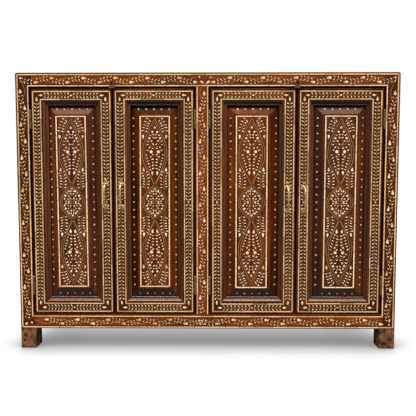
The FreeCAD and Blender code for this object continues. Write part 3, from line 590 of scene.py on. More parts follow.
# Buds, leaves and dots close the gaps between the vines: the mirrored ones first, then the single ones.
top_middle = stile_middle + 10 * mm
for side in (1, -1):
    corner_x = case_low.x if side > 0 else case_high.x
    for shape, x, z, turn, length, width in (
            (bud_outline, corner_x + side * 18 * mm, top_band + 7 * mm, -8, 13 * mm, 7 * mm),
            (bud_outline, top_middle + side * 9.5 * mm, top_band - 7.5 * mm, -145, 17 * mm, 7 * mm),
            (leaf_outline, top_middle + side * 19 * mm, top_band + 10 * mm, 70, 9 * mm, 4.4 * mm),
            (leaf_outline, stile_middle + side * 12 * mm, bottom_band + 4 * mm, 80, 11 * mm, 4 * mm),
            (leaf_outline, stile_middle + side * 8 * mm, bottom_band - 8 * mm, 40, 11 * mm, 4 * mm)):
        heading = math.radians(turn if side > 0 else 180 - turn)
        set_shape(frame_bed, shape, (x, z), heading, length, width)
set_dot(frame_bed, (stile_middle, bottom_band + 4 * mm), 3.8 * mm)
set_shape(frame_bed, bud_outline, (case_low.x + 18 * mm, bottom_band - 7 * mm), math.radians(55),
          13 * mm, 7 * mm)
set_dot(frame_bed, (case_low.x + 37 * mm, bottom_band - 4.3 * mm), 3.6 * mm)
for above, turn in ((4 * mm, 50), (-9.5 * mm, 100)):
    set_shape(frame_bed, leaf_outline, (case_high.x - 17.6 * mm, bottom_band + above), math.radians(turn),
              9 * mm, 4.2 * mm)
lay_inlay(frame_bed, "frame_inlay", "case", leaf_bone)


# Doors
# Each door is a mortised frame round a fielded panel, with a moulding mitred inside the frame.
# The frame carries two lines of stringing, and the field of the panel a third, paler one.

frame_tones = {
    1: ("#2e1002", "#441b04", "#5c290a"), 2: ("#301202", "#471e05", "#622e0b"),
    3: ("#341302", "#4d2004", "#6b340a"), 4: ("#2e1002", "#441c05", "#5e2d0c"),
}
rail_tones = {
    1: ("#2d1102", "#431d05", "#592b09"), 2: ("#401902", "#602a03", "#783b08"),
    3: ("#451c02", "#682f03", "#82430a"), 4: ("#361703", "#512505", "#6b380e"),
}
bottom_rail_shades = {1: 0.70, 2: 0.62, 3: 0.50, 4: 0.64}
door_face_y, field_face_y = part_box("door_1_rails")[0].y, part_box("door_1_panel")[0].y
door_face, field_face = front_face(door_face_y), front_face(field_face_y)
frame_width, moulding_width, field_margin = 39 * mm, 18 * mm, 5 * mm
field_width_share = {1: 0.7043, 2: 0.7043, 3: 0.6704, 4: 0.6704}
field_height_share = 0.9093

# Given in millimetres: the margins of the outer and inner string of each door frame from its left,
# right, bottom and top, the lean of the field's inlay at its top and bottom, and its drop.
string_margins = {
    1: ((3.6, 3.2, 3.2, 7.2), (30.2, 33.2, 31.5, 34.4)), 2: ((5.4, 3.6, 3.2, 7.2), (34.4, 30.8, 31.5, 34.4)),
    3: ((6.4, 3.8, 3.2, 7.2), (34.4, 34.4, 30.2, 34.4)), 4: ((6.4, 4.8, 3.2, 7.2), (34.4, 34.4, 32.0, 34.4)),
}
field_leans = {1: (-4.0, -1.2), 2: (3.4, 1.0), 3: (-4.0, -4.0), 4: (3.4, 2.0)}
field_drops = {1: 0.0, 2: 0.0, 3: 3.4, 4: 3.0}


def darker_below(level_low, level_high, tone):
    """Wood that darkens from one height down to a lower one."""
    def shade(tree, place, colour, shine):
        height = add(tree, "SeparateXYZ", [place], out="Z")
        fall = add(tree, "MapRange", [height, level_low, level_high, tone, 1.0])
        return shaded(tree, colour, fall), shine
    return shade


def lean_of(field_z, lean_top, lean_bottom):
    """How far the inlay of a field sits to one side at a height."""
    def aside(level):
        share = (level - field_z[0]) / (field_z[1] - field_z[0])
        return (lean_bottom + (lean_top - lean_bottom) * share) * mm
    return aside


doors = {}
for number, (stile_low, stile_high) in hinge_stiles.items():
    lock_low, lock_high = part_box(f"door_{number}_lock_stile")
    door = SimpleNamespace(
        body=f"door_{number}",
        x=(min(stile_low.x, lock_low.x), max(stile_high.x, lock_high.x)),
        z=(stile_low.z, stile_high.z),
        drop=field_drops[number] * mm)
    door.middle = (sum(door.x) / 2, sum(door.z) / 2)
    inset = frame_width + moulding_width
    door.sight_x = (door.x[0] + inset, door.x[1] - inset)
    door.sight_z = (door.z[0] + inset, door.z[1] - inset)
    half_width = (door.sight_x[1] - door.sight_x[0]) * field_width_share[number] / 2
    half_height = (door.sight_z[1] - door.sight_z[0]) * field_height_share / 2
    door.field_half = (half_width, half_height)
    door.field_x = (door.middle[0] - half_width, door.middle[0] + half_width)
    door.field_z = (door.middle[1] - half_height, door.middle[1] + half_height)
    door.aside = lean_of(door.field_z, *field_leans[number])
    doors[number] = door
    upright_wood = rosewood(
        f"waxed rosewood of door {number} stiles", "z", *frame_tones[number], shade_reach=4 * mm)
    level_wood = rosewood(
        f"waxed rosewood of door {number} rails", "x", *rail_tones[number], shade_reach=4 * mm,
        worn=darker_below(door.z[0] + 60 * mm, door.z[1] - 60 * mm, bottom_rail_shades[number]))
    dress(upright_wood, f"door_{number}_hinge_stile", f"door_{number}_lock_stile")
    dress(level_wood, f"door_{number}_rails")

door_bone = bone("yellowed bone of the door stringing", "#a17344", "#e4b681")
field_bone = bone("pale bone of the field stringing", "#d4a369", "#fbddae")
for number, door in doors.items():
    strings = new_bed(door_face)
    for margins in string_margins[number]:
        from_left, from_right, from_bottom, from_top = [margin * mm for margin in margins]
        string_rectangle(strings, (door.x[0] + from_left, door.x[1] - from_right),
                         (door.z[0] + from_bottom, door.z[1] - from_top))
    frame_string_faces = len(strings.bone.faces)
    strings.face = field_face
    string_rectangle(strings, (door.field_x[0] + field_margin, door.field_x[1] - field_margin),
                     (door.field_z[0] + field_margin - door.drop, door.field_z[1] - field_margin), door.aside)
    string_piece = lay_inlay(strings, f"door_{number}_string", door.body, door_bone)[0]
    string_piece.data.materials.append(field_bone)
    for polygon in string_piece.data.polygons[frame_string_faces:]:
        polygon.material_index = 1
    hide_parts(f"door_{number}_stringing")


# Leaf borders of the doors
# Pairs of bone leaves run from a dot at the middle of each stile and rail to a bud at each corner.
# They are sawn from thin bone and bedded in lac like those of the frame, along a thin bone line.

stile_bud_margin, rail_bud_margin = 36 * mm, 33 * mm


def leaf_run(bed, middle, heading, bud_reach):
    """Pairs of leaves from the dot at the middle of a stile or rail out to the bud at its end."""
    first_leaf, bud_clearance, usual_pitch = 10 * mm, 15 * mm, 12.2 * mm
    leaf_offset, leaf_size, bud_size = 6.1 * mm, (9.4 * mm, 3.4 * mm), (15 * mm, 7 * mm)
    run = bud_reach - first_leaf - bud_clearance
    rows = round(run / usual_pitch) + 1
    end = (middle[0] + math.cos(heading) * bud_reach, middle[1] + math.sin(heading) * bud_reach)
    lay_line(bed, [middle, end], 0.9 * mm)
    sprig(bed, [middle, end], first_leaf, run / (rows - 1), rows, leaf_offset, leaf_size, spread=52)
    set_shape(bed, bud_outline, end, heading, *bud_size)


for number, door in doors.items():
    border = new_bed(door_face)
    from_left, from_right, from_bottom, from_top = [
        ((outer + inner) * mm + string_width) / 2 for outer, inner in zip(*string_margins[number])]
    stile_reach = (door.z[1] - door.z[0]) / 2 - stile_bud_margin
    rail_reach = (door.x[1] - door.x[0]) / 2 - rail_bud_margin
    for middle, heading, bud_reach in (
            ((door.x[0] + from_left, door.middle[1]), up, stile_reach),
            ((door.x[1] - from_right, door.middle[1]), up, stile_reach),
            ((door.middle[0], door.z[0] + from_bottom), rightward, rail_reach),
            ((door.middle[0], door.z[1] - from_top), rightward, rail_reach)):
        set_dot(border, middle, 3.2 * mm)
        leaf_run(border, middle, heading, bud_reach)
        leaf_run(border, middle, heading + math.pi, bud_reach)
    lay_inlay(border, f"door_{number}_border", door.body, leaf_bone)


# Mouldings
# Four strips of darker polished wood, mitred at the corners and planted inside each door frame.
# A fillet at the frame falls in a round and a hollow to a small bead at the panel.

def polished_moulding(name, grain, top_tone=1.0, bottom_tone=1.0, polish=0.38):
    """Dark polished wood: close grain, nearly black brown, a clear shine on its rounds, painted light and
    shade by height, and painted shade in the corners.
    """
    material, tree, place = new_finish(name)
    figure = grain_figure(tree, place, 4 * mm, 160 * mm, grain, Detail=4.0, Roughness=0.6)
    colour = add(tree, "ValToRGB", [figure], stops=[(0.32, "#341a0d"), (0.52, "#4c2813"), (0.72, "#663a1e")])
    # Painted light and shade: the tone runs from bottom_tone low in the opening to top_tone high in it.
    height = add(tree, "SeparateXYZ", [place], out="Z")
    tone = add(tree, "MapRange", [
        height, opening_z[0] + 100 * mm, opening_z[1] - 100 * mm, bottom_tone, top_tone])
    unshaded = corner_shade(tree)
    colour = shaded(tree, colour, tone, unshaded)
    shine = add(tree, "MapRange", [unshaded, 0.4, 1.0, 0.05, polish])
    relief = add(tree, "Bump", {"Height": figure, "Strength": 0.15, "Distance": 0.2 * mm})
    wood = add(tree, "BsdfPrincipled", {
        "Base Color": colour, "Roughness": 0.34, "Normal": relief, "Specular IOR Level": shine})
    add(tree, "OutputMaterial", [wood])
    return material


def loft(store, rings, closed=False):
    """Joins rings of points one after another; an open run of rings is capped at its ends."""
    first, count = len(store.points), len(rings[0])
    for ring in rings:
        store.points.extend(ring)
    for index in range(len(rings) if closed else len(rings) - 1):
        a = first + index * count
        b = first + (index + 1) % len(rings) * count
        for i in range(count):
            after = (i + 1) % count
            store.faces.append([a + i, a + after, b + after, b + i])
    if not closed:
        store.faces.append([first + i for i in reversed(range(count))])
        store.faces.append([first + (len(rings) - 1) * count + i for i in range(count)])


# Painted light and shade: the level strips are darker at the top of the door, where they face down, and
# lighter at the bottom, where they face up; the left strips take a lighter, lit copy of the upright moulding.
upright_moulding = polished_moulding("dark polished upright moulding", "z")
lit_upright_moulding = polished_moulding("paler rubbed upright moulding", "z", top_tone=1.75, bottom_tone=1.25)
level_moulding = polished_moulding("dark polished level moulding", "x", top_tone=0.7, bottom_tone=1.35,
                                   polish=0.6)
panel_slope_back = door_face_y + 14 * mm

# The section in millimetres, in from the door frame and out from the foot of the panel's slope.
section = [(0, 0), (0, 12.6), (0.4, 13), (2.4, 13)]
for step in range(1, 7):
    turn = math.pi / 2 * step / 6
    section.append((2.4 + 5.2 * math.sin(turn), 8.2 + 4.8 * math.cos(turn)))
section.append((7.8, 7.4))
for step in range(1, 6):
    turn = math.pi / 2 * step / 5
    section.append((14.0 - 6.2 * math.cos(turn), 7.4 - 2.6 * math.sin(turn)))
for step in range(1, 7):
    turn = math.pi * (1 - 0.8 * step / 6)
    section.append((16.0 + 2.0 * math.cos(turn), 4.4 + 1.8 * math.sin(turn)))
section += [(18, 4), (18, 0)]

# The left, right, bottom and top strips run from corner to corner of the door, where 0 is left or
# bottom and 1 right or top, and each takes one of the three finishes.
strip_ends = (((0, 1), (0, 0)), ((1, 0), (1, 1)), ((0, 0), (1, 0)), ((1, 1), (0, 1)))
strip_finishes = (2, 0, 1, 1)
for number, door in doors.items():
    strips = new_store()
    for ends in strip_ends:
        rings = []
        for side, level in ends:
            ring = []
            for inward, height in section:
                inset = frame_width + inward * mm
                x = door.x[side] + (-inset if side else inset)
                z = door.z[level] + (-inset if level else inset)
                ring.append(Vector((x, panel_slope_back - height * mm, z)))
            rings.append(ring)
        loft(strips, rings)
    moulding_mesh = mesh_of(f"door_{number}_moulding_strips", strips)
    moulding_piece = new_piece(moulding_mesh.name, moulding_mesh, door.body, "dark_moulding",
                               upright_moulding, level_moulding, lit_upright_moulding)
    strip_faces = len(section) + 2
    for index, polygon in enumerate(moulding_mesh.polygons):
        polygon.material_index = strip_finishes[index // strip_faces]
    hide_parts(f"door_{number}_moulding")


# Fielded panels
# One rosewood board to a door, sloped at its margins up to a raised field. The slopes carry painted light and
# shade and a row of bone dots; the field, without that painting, shows redder and carries the medallions.

panel_tones = {
    1: ("#3a1502", "#5a2505", "#7b3b0b"), 2: ("#3c1602", "#602805", "#803d09"),
    3: ("#401702", "#642803", "#863e07"), 4: ("#341302", "#532205", "#6f350a"),
}
# Per door: the tone from the left slope to the right one, the painted light and shade of the slopes that face
# up, and the slopes' polish.
side_slope_tones = {1: (0.90, 0.65), 2: (0.37, 0.92), 3: (0.78, 0.38), 4: (0.45, 1.12)}
top_slope_tones = {1: 1.65, 2: 0.60, 3: 1.50, 4: 1.55}
slope_polish = {1: 0.42, 2: 0.06, 3: 0.12, 4: 0.40}


def panel_rosewood(name, tones, door, left_tone, right_tone, top_tone, polish):
    """Rosewood as on the frames, with painted light and shade on the slopes round the field."""
    def painted_slopes(tree, place, colour, shine):
        flat, sloped = 0.05, 0.15
        across, deep, height = add(tree, "SeparateXYZ", [place]).node.outputs
        facing = add(tree, "NewGeometry", out="True Normal")
        leaning_up = add(tree, "SeparateXYZ", [facing], out="Z")
        # Painted light and shade: a tone from the left slope to the right one, painted shade on the slopes
        # that face down, painted light on those that face up, and a painted shadow of the top moulding on the
        # top slope, which also takes its shine away.
        slope = add(tree, "MapRange", [across, door.field_x[0], door.field_x[1], left_tone, right_tone])
        low_slope = add(tree, "MapRange", [leaning_up, -sloped, -flat, 0.66, 1.0])
        top_slope = add(tree, "MapRange", [leaning_up, flat, sloped, 1.0, top_tone])
        top_corner = add(tree, "MapRange", [
            height, door.sight_z[1] - 16 * mm, door.sight_z[1] - 7 * mm, 1.0, 0.1])
        for shade in (low_slope, top_slope, top_corner):
            slope = add(tree, "Math", [slope, shade], operation="MULTIPLY")
        # The painted light and shade fall on the slopes only, not on the field.
        rubbed = add(tree, "MapRange", [deep, field_face_y + 0.5 * mm, field_face_y + 2.5 * mm, 1.0, slope])
        shine = add(tree, "Math", [shine, top_corner], operation="MULTIPLY")
        # Painted shade: the slopes that face down are mixed most of the way to a dull grey brown.
        painted_under_shade = add(tree, "MapRange", [leaning_up, -sloped, -flat, 0.75, 0.0])
        colour = add(tree, "Mix", {0: painted_under_shade, 6: shaded(tree, colour, rubbed), 7: linear("#37291f")}, out=2,
                     data_type="RGBA")
        return colour, shine
    return rosewood(name, "z", *tones, roughness=0.34, worn=painted_slopes, polish=polish)


for number, door in doors.items():
    panel_wood = panel_rosewood(f"waxed rosewood of panel {number}", panel_tones[number], door,
                                *side_slope_tones[number], top_slope_tones[number], slope_polish[number])
    dress(panel_wood, f"door_{number}_panel")

dot_bone = bone("dull bone of the dots", "#9c784e", "#dabc8e")
dot_pitch, dot_radius = 26.6 * mm, 2.7 * mm
dots_to_stile, dots_to_rail = 23, 5
dots_from_moulding = {1: (6.0, 10.5), 2: (10.0, 6.8), 3: (12.6, 10.0), 4: (13.0, 11.0)}
dots_from_bottom, dots_from_top = 10.8, 12.5
slope_top_y = field_face_y + 1.5 * mm
for number, door in doors.items():
    dots = new_bed(None)
    from_left, from_right = dots_from_moulding[number]
    for upright, end, count, from_edge in (
            (True, 0, dots_to_stile, from_left), (True, 1, dots_to_stile, from_right),
            (False, 0, dots_to_rail, dots_from_bottom), (False, 1, dots_to_rail, dots_from_top)):
        if upright:
            along = Vector((0, 0, 1))
            foot = Vector((door.sight_x[end], panel_slope_back, door.middle[1]))
            head = Vector((door.field_x[end], slope_top_y, door.middle[1]))
        else:
            along = Vector((1, 0, 0))
            foot = Vector((door.middle[0], panel_slope_back, door.sight_z[end]))
            head = Vector((door.middle[0], slope_top_y, door.field_z[end]))
        run = head - foot
        across = run.normalized()
        out = along.cross(across)
        if out.y > 0:
            out = -out
            along = -along
        dots.face = (foot, along, across, out)
        up_slope = run.length * from_edge * mm / math.hypot(run.x, run.z)
        for index in range(count):
            set_dot(dots, ((index - (count - 1) / 2) * dot_pitch, up_slope), dot_radius)
    lay_inlay(dots, f"door_{number}_dots", door.body, dot_bone)


# Medallions of the fields
# Double lines of bone wind from end to end of each field and cross at two necks, making a middle
# medallion and a long one above and below it, filled with sprigs, buds and dots.

def smooth(points, steps=5):
    """A curve through the points, rounded at each."""
    ends = [points[0]] + points + [points[-1]]
    curve = []
    for a, b, c, d in zip(ends, ends[1:], ends[2:], ends[3:]):
        for step in range(steps):
            t = step / steps
            curve.append(tuple(
                0.5 * (2 * b[i] + (c[i] - a[i]) * t + (2 * a[i] - 5 * b[i] + 4 * c[i] - d[i]) * t ** 2
                       + (3 * b[i] - a[i] - 3 * c[i] + d[i]) * t ** 3) for i in range(2)))
    return curve + [points[-1]]


# The drawing of one quarter of a field in millimetres, out from the middle line and in from the end.
drawn_half_width = 51
outer_line = [(0, 6), (11, 25), (22, 44), (31, 66), (39, 88), (44, 112), (45, 138), (41, 158), (33.9, 173.4),
              (25.7, 188.8), (16.4, 206.3), (9.2, 220.6), (3.8, 233)]
inner_line = [(0, 18), (15, 44), (24.5, 66), (31.5, 88), (36.5, 112), (37, 138), (34, 154), (28, 174),
              (20.5, 193), (13.3, 207.3), (6.2, 220.8), (0, 231)]
outer_middle = [(3.8, 236), (11.5, 242.5), (19, 249), (28.5, 258.5), (37, 269), (43.3, 282), (45.5, 295.8)]
inner_middle = [(0, 240), (6.5, 246), (13.5, 252), (23, 261.5), (31, 271.5), (36.6, 283), (38.6, 295.8)]
corner_stem = [(15, 4), (22, 10), (28.5, 19), (33, 31), (36.5, 43), (39.5, 58)]
side_stem = [(37, 252), (33.5, 243), (31.5, 228), (32, 210), (35.5, 196), (39, 186)]
branch = [(0, 106), (10, 99), (18, 90), (19.5, 78)]
low_branch = [(0, 168), (8, 158), (15, 145), (17, 128)]
middle_branch = [(0, 282), (9, 276), (17, 270), (23, 270)]
double_line_width, stem_width, spine_width, line_rim = 1.8 * mm, 0.9 * mm, 1.2 * mm, 0.9 * mm

medallion_bone = bone("pale bone of the medallions", "#d2a870", "#fae4bf")
for number, door in doors.items():
    field = new_bed(field_face)
    half_height = door.field_half[1] - field_margin - string_width
    widen = (door.field_half[0] - field_margin - string_width) / (drawn_half_width * mm)

    for sign in (1, -1):
        for flip in (1, -1):
            def at(x, down):
                """A place in one quarter of the field, from the middle line out and from the end down."""
                reach = half_height - down * mm
                if flip < 0:
                    reach *= 1 + door.drop / half_height
                level = door.middle[1] + flip * reach
                return (door.middle[0] + door.aside(level) + sign * x * mm * widen, level)

            def curve(points):
                return [at(*point) for point in smooth(points)]

            def put(shape, x, down, turn, length, width):
                """Sets a shape at a turn from straight up the quarter, leaning out."""
                heading = flip * (math.pi / 2 - sign * math.radians(turn))
                set_shape(field, shape, at(x, down), heading, length * mm, width * mm)

            def leaf(x, down, turn, length=8.4, width=3.5):
                put(leaf_outline, x, down, turn, length, width)

            def bud(x, down, turn):
                put(bud_outline, x, down, turn, 14.5, 7)

            for points in (outer_line, inner_line, outer_middle, inner_middle):
                lay_line(field, curve(points), double_line_width, line_rim)
            for points in (corner_stem, side_stem, branch, low_branch, middle_branch):
                lay_line(field, curve(points), stem_width)
            for x, down, radius in ((9, 51, 3.4), (19.5, 73, 3.8), (13.3, 120, 5.4)):
                set_dot(field, at(x, down), radius * mm)
            for x, down, turn in (
                    (5, 60.5, 58), (5, 71, 58), (15.5, 63, 62), (12, 83, 50), (25, 84, 70),
                    (5.5, 94, 52), (27, 95, 95), (19, 105, 135), (8, 108, 55), (25.5, 115, 60),
                    (7.5, 130, 50), (31, 131, 135), (14.5, 137, 80), (28, 142, 133)):
                leaf(x, down, turn)
            for row in range(4):
                leaf(8 - 0.5 * row, 146 + 10.8 * row, 95)
                leaf(25 - 2.9 * row, 151.5 + 10.3 * row, 130)
            bud(9, 194, 182)
            sprig(field, curve(corner_stem), 9 * mm, 10.4 * mm, 5, 6.6 * mm, spread=80)
            bud(42.5, 68, 180)
            sprig(field, curve(side_stem), 10 * mm, 10.3 * mm, 6, 8.4 * mm, spread=72)
            bud(41, 182, 4)

            middle = half_height / mm
            for x, up_from_middle, radius in ((11.8, 38.5, 3.3), (25.4, 22.5, 3.5), (29, 12, 2.8)):
                set_dot(field, at(x, middle - up_from_middle), radius * mm)
            for x, up_from_middle, turn in (
                    (18.2, 32.5, 45), (4.4, 29.5, 30), (5, 39, 25), (13, 21.5, 50),
                    (6.6, 13, 40), (16, 11, 55), (23.5, 4.5, 62), (13, 2.5, 60)):
                down = middle - up_from_middle
                leaf(x, down, turn, 7, 3.8)
                lay_line(field, [at(0, down + 0.6 * x), at(x, down)], stem_width)
            lay_line(field, [at(0, 44), at(0, 112), at(0, 170), at(0, 231)], spine_width)
            lay_line(field, [at(0, 246), at(0, middle)], spine_width)
    for flip in (1, -1):
        for up_from_middle, length, width in (
                (half_height - 36 * mm, 9.5 * mm, 6.2 * mm), (47 * mm, 7.5 * mm, 7 * mm)):
            level = door.middle[1] + flip * up_from_middle
            x = door.middle[0] + door.aside(level)
            set_shape(field, bud_outline, (x, level), flip * up, length, width)
    lay_inlay(field, f"door_{number}_medallion", door.body, medallion_bone)


# Hinges and screws
# Old butt hinges of rolled steel, screwed to the edges of the doors and the frame and browned by age.
# The round head of a pin, rubbed bright, tops each barrel, and its near-white steel also paints the highlight
# on the barrel's top.

def browned_steel(name, dark, bright, shine=0.5):
    """Old steel: brown skin with worn grey patches, dull."""
    patch = 6 * mm
    material, tree, place = new_finish(name)
    wear = add(tree, "TexNoise", {"Vector": place, "Scale": 1 / patch, "Detail": 5.0})
    colour = add(tree, "ValToRGB", [wear], stops=[(0.35, dark), (0.68, bright)])
    relief = add(tree, "Bump", {"Height": wear, "Strength": 0.3, "Distance": 0.2 * mm})
    steel = add(tree, "BsdfPrincipled", {
        "Base Color": colour, "Metallic": 0.35, "Roughness": 0.5, "Normal": relief,
        "Specular IOR Level": shine})
    add(tree, "OutputMaterial", [steel])
    return material


def add_boss(store, middle, half_sizes, tilt=0.0):
    """A rounded boss of metal, tilted in the plane of the door."""
    bm = bmesh.new()
    lie = Matrix.Translation(middle) @ Matrix.Rotation(-tilt, 4, "Y") @ Matrix.Diagonal((*half_sizes, 1.0))
    to_front = Matrix.Rotation(math.pi / 2, 4, "X")
    bmesh.ops.create_uvsphere(bm, u_segments=16, v_segments=8, radius=1.0, matrix=lie @ to_front)
    bm.verts.index_update()
    first = len(store.points)
    store.points.extend(corner.co.copy() for corner in bm.verts)
    store.faces.extend([first + corner.index for corner in face.verts] for face in bm.faces)
    bm.free()


hinge_steel = browned_steel("browned hinge steel", "#35251a", "#94724f")
dress(hinge_steel, "frame_hinge_leaves", "hinge_pins", "frame_screws")
for number in doors:
    dress(hinge_steel, f"door_{number}_hinge_leaves", f"door_{number}_screws")

head_radius, head_sunk, hinge_length = 2.2 * mm, 0.4 * mm, 63.5 * mm
pins_low, pins_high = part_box("hinge_pins")
heads = new_store()
for joint in frame["joints"]:
    if joint["name"].startswith("door"):
        axis_x, axis_y = joint["pos_m"][:2]
        for barrel_top in (pins_low.z + hinge_length, pins_high.z):
            add_boss(heads, Vector((axis_x, axis_y, barrel_top - head_sunk)), [head_radius] * 3)
# Painted highlight, in part: the pin heads are real rubbed steel, coloured near white so they also show the
# bright spot each barrel's top catches.
rubbed_steel_and_highlight = browned_steel("rubbed steel of the pin heads", "#8d8476", "#e4ddd0")
heads_mesh = mesh_of("hinge_pin_heads", heads)
heads_mesh.shade_smooth()
new_piece("hinge_pin_heads", heads_mesh, "case", "hinge_steel", rubbed_steel_and_highlight)


# Turn buttons
# Two small wooden buttons keep the doors shut. Each turns on a blackened iron pin driven into the top
# rail, and its wood is rubbed smooth and dull by fingers.

button_wood = rosewood("rubbed wood of the buttons", "z", "#583016", "#78421f", "#905432", roughness=0.5)
black_iron = browned_steel("blackened iron", "#040303", "#120e0b", shine=0.1)
dress(button_wood, "left_turn_button", "right_turn_button")
dress(black_iron, "button_pivots")


# Pulls
# Cast brass bows between two pierced trefoil plates, screwed to the lock stiles. They have gone dark in
# the hollows and are rubbed bright on the bow by hands.

def aged_brass():
    """Cast brass: yellow and bright where rubbed, brown in the hollows of the casting."""
    patch = 7 * mm
    material, tree, place = new_finish("aged cast brass")
    tarnish = add(tree, "TexNoise", {"Vector": place, "Scale": 1 / patch, "Detail": 5.0, "Roughness": 0.6})
    colour = add(tree, "ValToRGB", [tarnish], stops=[(0.30, "#84642f"), (0.48, "#c39b5e"), (0.68, "#efd6a2")])
    rough = add(tree, "MapRange", [tarnish, 0.3, 0.7, 0.36, 0.16])
    relief = add(tree, "Bump", {"Height": tarnish, "Strength": 0.25, "Distance": 0.3 * mm})
    metal = add(tree, "BsdfPrincipled", {
        "Base Color": colour, "Metallic": 0.4, "Roughness": rough, "Normal": relief,
        "Specular IOR Level": 0.8})
    add(tree, "OutputMaterial", [metal])
    return material


def add_bar(store, path, radii, steps, closed=False):
    """Sweeps a round section of changing radius along a path."""
    count = len(path)
    rings = []
    for index, (point, radius) in enumerate(zip(path, radii)):
        if closed:
            run = path[(index + 1) % count] - path[index - 1]
        else:
            run = path[min(index + 1, count - 1)] - path[max(index - 1, 0)]
        run.normalize()
        side = Vector((1, 0, 0)) if abs(run.x) < 0.01 else Vector((0, -1, 0))
        other = run.cross(side).normalized()
        turns = [2 * math.pi * step / steps for step in range(steps)]
        rings.append([point + side * (radius * math.cos(turn)) + other * (radius * math.sin(turn))
                      for turn in turns])
    loft(store, rings, closed)


brass = aged_brass()
bow_half, bow_out, bow_radius, bow_steps = 38 * mm, 25.0 * mm, 3.783 * mm, 40
along_power, out_power, end_thinning = 0.75, 0.62, 0.14
collar_steps, collar_half_width, collar_swell = (9, 11.5, 28.5, 31), 0.9, 0.1
foot_boss, tip_boss = (5.2 * mm, 2.6 * mm, 5.6 * mm), (2.3 * mm, 2.0 * mm, 2.6 * mm)
wing_boss, wing_tilt = (4.9 * mm, 1.9 * mm, 2.5 * mm), math.radians(-38)
eye_reach, eye_half_x, eye_half_z, eye_radius, eye_steps = 12.2 * mm, 4.4 * mm, 4.8 * mm, 1.9 * mm, 20
for number, door in doors.items():
    pull_low, pull_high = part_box(f"door_{number}_pull")
    middle = Vector(((pull_low.x + pull_high.x) / 2, door_face_y, (pull_low.z + pull_high.z) / 2))
    casting = new_store()
    path, radii = [], []
    for step in range(bow_steps + 1):
        turn = math.pi * step / bow_steps
        along = math.copysign(abs(math.cos(turn)) ** along_power, math.cos(turn))
        path.append(middle + Vector((0, -bow_out * math.sin(turn) ** out_power, bow_half * along)))
        swell = 1 - end_thinning * (1 - math.sin(turn))
        collar = sum(math.exp(-((step - at_step) / collar_half_width) ** 2) for at_step in collar_steps)
        radii.append(bow_radius * swell * (1 + collar_swell * collar))
    add_bar(casting, path, radii, steps=14)
    for end in (1, -1):
        foot = middle + Vector((0, -1 * mm, end * bow_half))
        add_boss(casting, foot, foot_boss)
        eye = foot + Vector((0, -0.2 * mm, end * eye_reach))
        circle = []
        for step in range(eye_steps):
            turn = 2 * math.pi * step / eye_steps
            circle.append(eye + Vector((eye_half_x * math.cos(turn), 0, eye_half_z * math.sin(turn))))
        add_bar(casting, circle, [eye_radius] * eye_steps, steps=10, closed=True)
        for side in (1, -1):
            wing = foot + Vector((side * 6.4 * mm, 0.2 * mm, end * 4.2 * mm))
            add_boss(casting, wing, wing_boss, tilt=side * end * wing_tilt)
            tip = foot + Vector((side * 8.6 * mm, 0.2 * mm, end * 0.6 * mm))
            add_boss(casting, tip, tip_boss)
    pull_mesh = mesh_of(f"door_{number}_pull_casting", casting)
    pull_mesh.shade_smooth()
    pull_piece = new_piece(pull_mesh.name, pull_mesh, door.body, "aged_brass", brass)
    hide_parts(f"door_{number}_pull")


# Floor, light and camera
# A pale studio floor that fades to white with a soft shadow under the case, one broad light overhead in
# front, a plain white room, and the camera at eye level of the doors.

floor_half = 9.0
floor_corners = [(x * floor_half, y * floor_half, 0) for x, y in ((-1, -1), (1, -1), (1, 1), (-1, 1))]
floor_mesh = bpy.data.meshes.new("studio_floor")
floor_mesh.from_pydata(floor_corners, [], [(0, 1, 2, 3)])
floor = bpy.data.objects.new("studio_floor", floor_mesh)
bpy.context.scene.collection.objects.link(floor)

# The floor's own glow falls with the open air over it, which draws the soft shadow, and rises again
# towards the back of the case. It shows to the camera alone.
shadow_reach = 0.2
shadow_glow = (
    (0.20, 0.25), (0.40, 0.35), (0.56, 0.46), (0.68, 0.60), (0.80, 0.83), (0.87, 0.92), (0.96, 0.96))
floor_finish, tree, place = new_finish("pale studio floor")
to_camera = add(tree, "LightPath", out="Is Camera Ray")
to_gloss = add(tree, "LightPath", out="Is Glossy Ray")
depth_back = add(tree, "SeparateXYZ", [place], out="Y")
open_air = add(tree, "AmbientOcclusion", {"Distance": shadow_reach}, out="AO", samples=16)
glow = add(tree, "ValToRGB", [open_air], stops=[(share, [level] * 3 + [1.0]) for share, level in shadow_glow])
back_glow = add(tree, "MapRange", [depth_back, -0.11, 0.05, 0.0, 0.24])
glow = add(tree, "Math", [glow, back_glow], operation="ADD")
seen_glow = add(tree, "Math", [to_camera, glow], operation="MULTIPLY")
seen_paint, bounce, dull = [
    add(tree, "BsdfDiffuse", {"Color": linear(grey)}) for grey in ("#454545", "#b3b3b3", "#313131")]
paint = add(tree, "MixShader", [to_camera, bounce, seen_paint])
paint = add(tree, "MixShader", [to_gloss, paint, dull])
white = add(tree, "Emission", {"Color": linear("#ffffff"), "Strength": seen_glow})
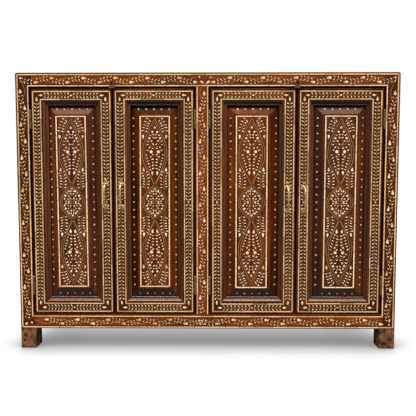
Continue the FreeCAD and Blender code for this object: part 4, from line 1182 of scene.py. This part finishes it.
add(tree, "OutputMaterial", [add(tree, "AddShader", [paint, white])])
floor_mesh.materials.append(floor_finish)

# The room is white to the camera and dim to the object, but shows a bright softbox in reflections.
world = bpy.data.worlds.new("studio")
bpy.context.scene.world = world
world.use_nodes = True
world.node_tree.nodes.clear()
tree = world.node_tree
to_camera = add(tree, "LightPath", out="Is Camera Ray")
to_gloss = add(tree, "LightPath", out="Is Glossy Ray")
sky_height = add(tree, "SeparateXYZ", [add(tree, "TexCoord", out="Generated")], out="Z")
reflected = add(tree, "MapRange", [sky_height, 0.15, 0.6, 0.05, 0.9])
softbox = add(tree, "MapRange", [sky_height, 0.86, 0.95, 0.0, 6.0])
reflected = add(tree, "Math", [reflected, softbox], operation="ADD")
dim_room = add(tree, "MapRange", [to_gloss, 0.0, 1.0, 0.34, reflected])
soft = add(tree, "Background", {"Color": linear("#ffffff"), "Strength": dim_room})
plain_white = add(tree, "Background", {"Color": linear("#ffffff"), "Strength": 1.0})
add(tree, "OutputWorld", [add(tree, "MixShader", [to_camera, soft, plain_white])])

lamp_height = math.radians(65)
overhead = bpy.data.lights.new("overhead_softbox", "SUN")
overhead.energy = 4.9
overhead.angle = math.radians(40)
lamp = bpy.data.objects.new("overhead_softbox", overhead)
lamp.location = (0.0, -2.0, 4.0)
shining = Vector((0, math.cos(lamp_height), -math.sin(lamp_height)))

camera_data = bpy.data.cameras.new("camera")
camera_data.lens = 43.27
camera_data.sensor_width = 36
camera = bpy.data.objects.new("camera", camera_data)
camera.location = (0.0179, -1.944, 0.6132)
tilt_down, turn_aside = 0.0646, -0.0087
looking = Vector((math.sin(turn_aside) * math.cos(tilt_down), math.cos(turn_aside) * math.cos(tilt_down),
                  -math.sin(tilt_down)))
for device, direction in ((lamp, shining), (camera, looking)):
    bpy.context.scene.collection.objects.link(device)
    device.rotation_mode = "QUATERNION"
    device.rotation_quaternion = direction.to_track_quat("-Z", "Y")
bpy.context.scene.camera = camera
bpy.context.scene.view_settings.view_transform = "Standard"
